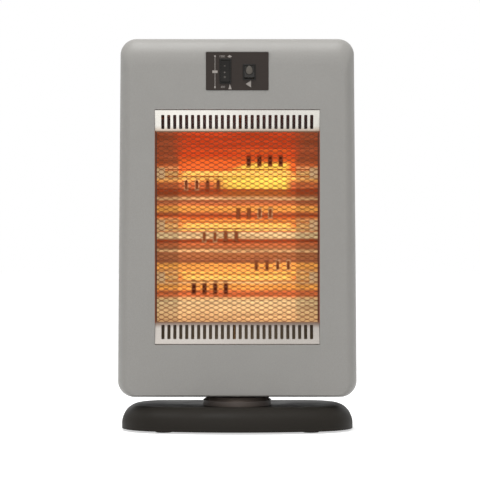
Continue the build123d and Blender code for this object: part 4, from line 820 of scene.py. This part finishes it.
def hem_metal():
    """The same steel on the hem: paler along the strips as painted reflection, darker at the sides as painted
    shade.
    """
    hem = Finish("net_hem_metal")
    blotch = hem.grain(5.0, detail=2.0)
    # Painted light on the hem: a painted reflection along the strips, painted shade at the sides.
    along_strips = hem.step(abs(hem.z - WINDOW_MIDDLE_Z), NET_EDGE - HEM - 0.2 * MM, NET_EDGE - HEM + 0.2 * MM)
    colour = hem.blend(along_strips, HEM_PAINTED_SHADE, HEM_PAINTED_REFLECTION)
    gloss = hem.step(blotch, 0.3, 0.7, 0.36, 0.5)
    inputs = {"Base Color": hem.shade(colour, blotch, 0.88, 1.1), "Metallic": 0.7, "Roughness": gloss}
    return hem.done({**inputs, "Normal": hem.relief(hem.grain(0.6), 0.01)})


# %% The rule of one strand
NET_SIZES = {
    "Width": (NET_HIGH.x - NET_LOW.x) - 2 * HEM,
    "Height": (NET_HIGH.z - NET_LOW.z) - 2 * HEM,
    "Long Way": 13.0 * MM,
    "Short Way": 6.68 * MM,
    "Joint": 4.2 * MM,
    "Strand": 1.1 * MM,
    "Sheet": 0.5 * MM,
    "Tilt": math.radians(20),
}


def wavy_strand(net):
    """One tilted ribbon across the net, level at each joint and slanting between."""
    size = net.size
    half = size("Long Way") / 2
    start = size("Width") / -2
    count = (size("Width") / half).floor() * 2 + 2
    point = net.node("GeometryNodeInputIndex")
    pair = (point / 2).floor()
    run = start + pair * half + ((point % 2) - 0.5) * size("Joint")
    run = run.at_least(start).at_most(size("Width") / 2)
    wave = (pair % 2 - 0.5) * (size("Short Way") / 2 - size("Strand"))
    place = net.vector(run, 0.0, wave)
    line = net.node("GeometryNodeMeshLine", inputs={"Count": count})
    line = net.node("GeometryNodeSetPosition", inputs={"Geometry": line, "Position": place})
    curve = net.node("GeometryNodeMeshToCurve", inputs={"Mesh": line})
    facing = {"Curve": curve, "Normal": net.vector(0.0, 1.0, 0.0)}
    curve = net.node("GeometryNodeSetCurveNormal", {"mode": "FREE"}, facing)
    curve = net.node("GeometryNodeSetCurveTilt", inputs={"Curve": curve, "Tilt": size("Tilt")})
    ribbon = {"Width": size("Strand"), "Height": size("Sheet")}
    profile = net.node("GeometryNodeCurvePrimitiveQuadrilateral", inputs=ribbon)
    swept = {"Curve": curve, "Profile Curve": profile, "Fill Caps": True}
    strand = net.node("GeometryNodeCurveToMesh", inputs=swept)
    return net.node("GeometryNodeSetShadeSmooth", inputs={"Geometry": strand, "Shade Smooth": False})


# %% The rule of the net
def grow_net(material):
    """Rows of strands, every second one upside down, so that they meet at their joints."""
    net = Rule("expanded_net", NET_SIZES)
    tall = net.size("Height")
    rows = (tall / (net.size("Short Way") / 2)).floor()
    row = net.node("GeometryNodeInputIndex")
    place = net.vector(0.0, 0.0, tall / -2 + (row + 0.5) * (tall / rows))
    column = net.node("GeometryNodeMeshLine", inputs={"Count": rows})
    column = net.node("GeometryNodeSetPosition", inputs={"Geometry": column, "Position": place})
    turn = net.vector((row % 2) * math.pi, 0.0, 0.0)
    strands = {"Points": column, "Instance": wavy_strand(net), "Rotation": turn}
    return net.grow(net.node("GeometryNodeInstanceOnPoints", inputs=strands), material)


net_mesh = grow_net(net_metal())
net_mesh.transform(Matrix.Translation((NET_LOW + NET_HIGH) / 2))
add_piece("guard_net", net_mesh, "head", ["guard"])


# %% The hem of the net
def corners(inset):
    """The corners of the net's frame as x and z, drawn in by that much."""
    low_x, high_x = NET_LOW.x + inset, NET_HIGH.x - inset
    low_z, high_z = NET_LOW.z + inset, NET_HIGH.z - inset
    return [(low_x, low_z), (high_x, low_z), (high_x, high_z), (low_x, high_z)]


def hem_mesh(material):
    """A flat frame that holds the cut ends of the net."""
    shape = bmesh.new()
    near, far = NET_LOW.y, NET_HIGH.y
    rings = []
    for y, inset in ((near, 0.0), (near, HEM), (far, HEM), (far, 0.0)):
        rings.append([shape.verts.new((x, y, z)) for x, z in corners(inset)])
    for ring, after in zip(rings, rings[1:] + rings[:1]):
        for side in range(4):
            turn = (side + 1) % 4
            shape.faces.new((ring[side], ring[turn], after[turn], after[side]))
    bmesh.ops.recalc_face_normals(shape, faces=shape.faces)
    mesh = bpy.data.meshes.new("net_hem")
    shape.to_mesh(mesh)
    shape.free()
    mesh.materials.append(material)
    return mesh


add_piece("guard_hem", hem_mesh(hem_metal()), "head")


# %% [markdown]
# ## The coils
# Each quartz tube holds a long tight coil of resistance wire. Its rule is a helix: so many turns in so much
# length, with a round wire swept along it.

# %% The rule of a coil
COIL_SIZES = {
    "Length": 2 * COIL_HALF,
    "Radius": 3.0 * MM,
    "Wire": 0.5 * MM,
    "Turns": 84.0,
    "Steps": 10,
    "Wire Sides": 5,
}
UPRIGHT_TO_LEVEL = Euler((0, math.pi / 2, 0)).to_matrix().to_4x4()


def grow_coil(name, material):
    """An upright helix of round wire."""
    coil = Rule(name, COIL_SIZES)
    size = coil.size
    helix = {
        "Resolution": size("Steps"),
        "Rotations": size("Turns"),
        "Start Radius": size("Radius"),
        "End Radius": size("Radius"),
        "Height": size("Length"),
    }
    curve = coil.node("GeometryNodeCurveSpiral", inputs=helix)
    wire = {"Resolution": size("Wire Sides"), "Radius": size("Wire")}
    wire = coil.node("GeometryNodeCurvePrimitiveCircle", inputs=wire)
    swept = {"Curve": curve, "Profile Curve": wire, "Fill Caps": True}
    return coil.grow(coil.node("GeometryNodeCurveToMesh", inputs=swept), material)


for trough in BANDS:
    coil_low, coil_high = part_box("heating_coil_" + trough)
    coil_mesh = grow_coil("coil_" + trough, hot_wire_finish)
    coil_mesh.transform(UPRIGHT_TO_LEVEL)
    coil_mesh.transform(Matrix.Translation((-COIL_HALF, coil_low.y / 2 + coil_high.y / 2, TUBE_Z[trough])))
    add_piece("glowing_coil_" + trough, coil_mesh, "head", ["heating_coil_" + trough])

# %% [markdown]
# ## Printed marks
# The plate is printed with a scale and plain numbers beside the selector, and a pointer under the swing
# switch, in light grey ink. A picture could carry them, but flat meshes stay sharp and need no file. Every
# point of a mark is laid on the plate or the rocker by looking from the front for the surface behind it. The
# ink then follows the slopes of the rocker, and moves with it.

# %% Laying ink on a surface
INK_RISE = 0.04 * MM
FIGURE_SHARE = 0.7


def ink(name, colour):
    """Matt screen-printing ink, slightly worn."""
    print_ink = Finish(name)
    wear = print_ink.grain(0.4, detail=3.0)
    inputs = {"Base Color": print_ink.shade(colour, wear, 0.82, 1.08), "Roughness": 0.6}
    return print_ink.done({**inputs, "Normal": print_ink.relief(wear, 0.01)})


def surface_of(name):
    """A search tree over the triangles of a CAD node."""
    mesh = nodes[name].data
    points = [vertex.co for vertex in mesh.vertices]
    return BVHTree.FromPolygons(points, [face.vertices for face in mesh.polygons])


def lay_on(mesh, surface):
    """Sets every point of a flat mesh just in front of the surface behind it."""
    for vertex in mesh.vertices:
        eye = Vector((vertex.co.x, -1.0, vertex.co.z))
        vertex.co.y = surface.ray_cast(eye, Vector((0, 1, 0)))[0].y - INK_RISE


def bar(x, z, width, height):
    """The four corners of an upright bar, in mm."""
    left, right = x - width / 2, x + width / 2
    low, high = z - height / 2, z + height / 2
    return [(left, low), (right, low), (right, high), (left, high)]


def outlines_mesh(outlines, material):
    """A flat mesh of closed outlines, each a list of x and z in mm."""
    shape = bmesh.new()
    for outline in outlines:
        face = shape.faces.new([shape.verts.new((x * MM, 0.0, z * MM)) for x, z in outline])
        face.normal_update()
        if face.normal.y > 0:
            face.normal_flip()
    mesh = bpy.data.meshes.new("marks")
    shape.to_mesh(mesh)
    shape.free()
    mesh.materials.append(material)
    return mesh


def figures_mesh(words, x, z, height, material):
    """Printed figures of that height, which is a share of the font's size, their middle at x and z, in mm."""
    curve = bpy.data.curves.new("figures", "FONT")
    curve.body = words
    curve.size = height * MM / FIGURE_SHARE
    curve.align_x = "CENTER"
    curve.align_y = "CENTER"
    host = bpy.data.objects.new("figures", curve)
    bpy.context.scene.collection.objects.link(host)
    graph = bpy.context.evaluated_depsgraph_get()
    mesh = bpy.data.meshes.new_from_object(host.evaluated_get(graph), depsgraph=graph)
    bpy.data.objects.remove(host)
    mesh.transform(Euler((math.pi / 2, 0, 0)).to_matrix().to_4x4())
    mesh.transform(Matrix.Translation((x * MM, 0, z * MM)))
    mesh.materials.clear()
    mesh.materials.append(material)
    return mesh


# %% The marks on the plate
GREY_INK = screen(160, 153, 147)
LINE = 0.7
SCALE_X = -31.7
SCALE_LOW, SCALE_MIDDLE, SCALE_HIGH = 491.0, 514.4, 536.6
LOW_MARK, MIDDLE_MARK, HIGH_MARK = (2.0, 3.0), (7.4, 3.6), (2.4, 2.0)
LOW_POINTER = [(-12.6, 489.6), (-7.9, 489.6), (-10.6, 497.1)]
SWING_POINTER = [(12.0, 497.1), (19.6, 492.1), (19.6, 501.8)]
HIGH_DIAMOND = [(-14.2, 536.2), (-10.8, 534.2), (-7.4, 536.2), (-10.8, 538.2)]
FIGURE_HEIGHT = 2.9
FIGURES = {"plate_high_figures": ("1200", -21.6, 536.2), "plate_low_figures": ("600", -20.4, 492.8)}


def scale_line(low, high):
    """A stretch of the scale's line from one height to another."""
    return bar(SCALE_X, (low + high) / 2, LINE, high - low)


grey_ink = ink("light_grey_ink", GREY_INK)
plate_surface = surface_of("control_plate")
scale_marks = [
    scale_line(SCALE_LOW + LOW_MARK[1], SCALE_MIDDLE - MIDDLE_MARK[1] / 2),
    scale_line(SCALE_MIDDLE + MIDDLE_MARK[1] / 2, SCALE_HIGH - HIGH_MARK[1] / 2),
    bar(SCALE_X, SCALE_HIGH, *HIGH_MARK),
    bar(SCALE_X, SCALE_LOW + LOW_MARK[1] / 2, *LOW_MARK),
    bar(SCALE_X, SCALE_MIDDLE, *MIDDLE_MARK),
    LOW_POINTER,
    SWING_POINTER,
    HIGH_DIAMOND,
]
marks = outlines_mesh(scale_marks, grey_ink)
lay_on(marks, plate_surface)
add_piece("plate_marks", marks, "head")
for name, (words, x, z) in FIGURES.items():
    figures = figures_mesh(words, x, z, FIGURE_HEIGHT, grey_ink)
    lay_on(figures, plate_surface)
    add_piece(name, figures, "head")

# %% The marks on the selector
FAINT_INK = screen(104, 98, 92)
CROSS_X, CROSS_Z, CROSS_ARM = -17.9, 513.5, 0.75
TWIN_X, TWIN_Z, TWIN_APART = -17.85, 506.8, 0.65
DASH_Z = 522.6

rocker_marks = [bar(CROSS_X, CROSS_Z, 0.8, 2.2), bar(CROSS_X, DASH_Z, 2.4, 0.9)]
for side in (-1, 1):
    rocker_marks.append(bar(CROSS_X + side * CROSS_ARM, CROSS_Z, LINE, LINE))
    rocker_marks.append(bar(TWIN_X + side * TWIN_APART, TWIN_Z, LINE, 2.4))
marks = outlines_mesh(rocker_marks, ink("faint_rocker_ink", FAINT_INK))
lay_on(marks, surface_of("selector_rocker"))
add_piece("selector_marks", marks, "selector")

# %% [markdown]
# ## The studio
# A pale floor, a pale room and two soft lamps: one wide lamp in front and above, and one overhead that
# lights the rolled top edge. The room is white to the camera, to metal and to glass, and a little dimmer as
# a source of light, so that pale surfaces keep their colour.

# %% Room, floor and lamps
AMBIENT = 0.55
FLOOR_HALF = 5.0


def direct_rays(recipe):
    """1 for rays that see the room itself: from the camera, off metal and through glass."""
    kinds = ("Is Camera Ray", "Is Glossy Ray", "Is Transmission Ray")
    camera_ray, glossy, through = (recipe.node("ShaderNodeLightPath", output=kind) for kind in kinds)
    return (camera_ray + glossy + through).at_most(1.0)


def make_room():
    """A white room that gives a soft even light."""
    world = bpy.data.worlds.new("studio")
    bpy.context.scene.world = world
    world.use_nodes = True
    world.node_tree.nodes.clear()
    room = Recipe(world.node_tree)
    soft = room.node("ShaderNodeBackground", inputs={"Color": (1, 1, 1), "Strength": AMBIENT})
    white = room.node("ShaderNodeBackground", inputs={"Color": (1, 1, 1), "Strength": 1.0})
    mixed = room.node("ShaderNodeMixShader", inputs={0: direct_rays(room), 1: soft, 2: white})
    feed(room.tree, room.tree.nodes.new("ShaderNodeOutputWorld").inputs["Surface"], mixed)


def floor_finish():
    """White floor paper that keeps the object's shadow."""
    paper = Finish("floor_paper")
    fibre = paper.grain(400.0, detail=1.0)
    colour = paper.shade((0.8, 0.8, 0.8), fibre, 0.99, 1.01)
    lit = paper.node("ShaderNodeBsdfDiffuse", inputs={"Color": colour})
    lift = paper.node("ShaderNodeEmission", inputs={"Color": (1, 1, 1), "Strength": 0.6})
    bright = paper.node("ShaderNodeAddShader", inputs={0: lit, 1: lift})
    paper.node_output(paper.node("ShaderNodeMixShader", inputs={0: direct_rays(paper), 1: lit, 2: bright}))
    return paper.material


def make_floor():
    """A wide flat sheet at the height of the rubber feet."""
    mesh = bpy.data.meshes.new("floor")
    corners = [(x * FLOOR_HALF, y * FLOOR_HALF, 0.0) for x, y in ((-1, -1), (1, -1), (1, 1), (-1, 1))]
    mesh.from_pydata(corners, [], [(0, 1, 2, 3)])
    mesh.materials.append(floor_finish())
    floor = bpy.data.objects.new("floor", mesh)
    bpy.context.scene.collection.objects.link(floor)


def add_lamp(name, place, aim, size, watts):
    """A square soft lamp that looks at a point."""
    data = bpy.data.lights.new(name, "AREA")
    data.size = size
    data.energy = watts
    lamp = bpy.data.objects.new(name, data)
    bpy.context.scene.collection.objects.link(lamp)
    lamp.location = place
    lamp.rotation_euler = (Vector(aim) - Vector(place)).to_track_quat("-Z", "Y").to_euler()


bpy.context.scene.view_settings.view_transform = "Standard"
make_room()
make_floor()
add_lamp("front_lamp", place=(-0.15, -4.0, 1.0), aim=(0, 0, 0.3), size=2.4, watts=22)
add_lamp("top_lamp", place=(-0.25, -0.45, 2.4), aim=(0, 0, 0.4), size=1.6, watts=37)
print("two lamps and a white room")
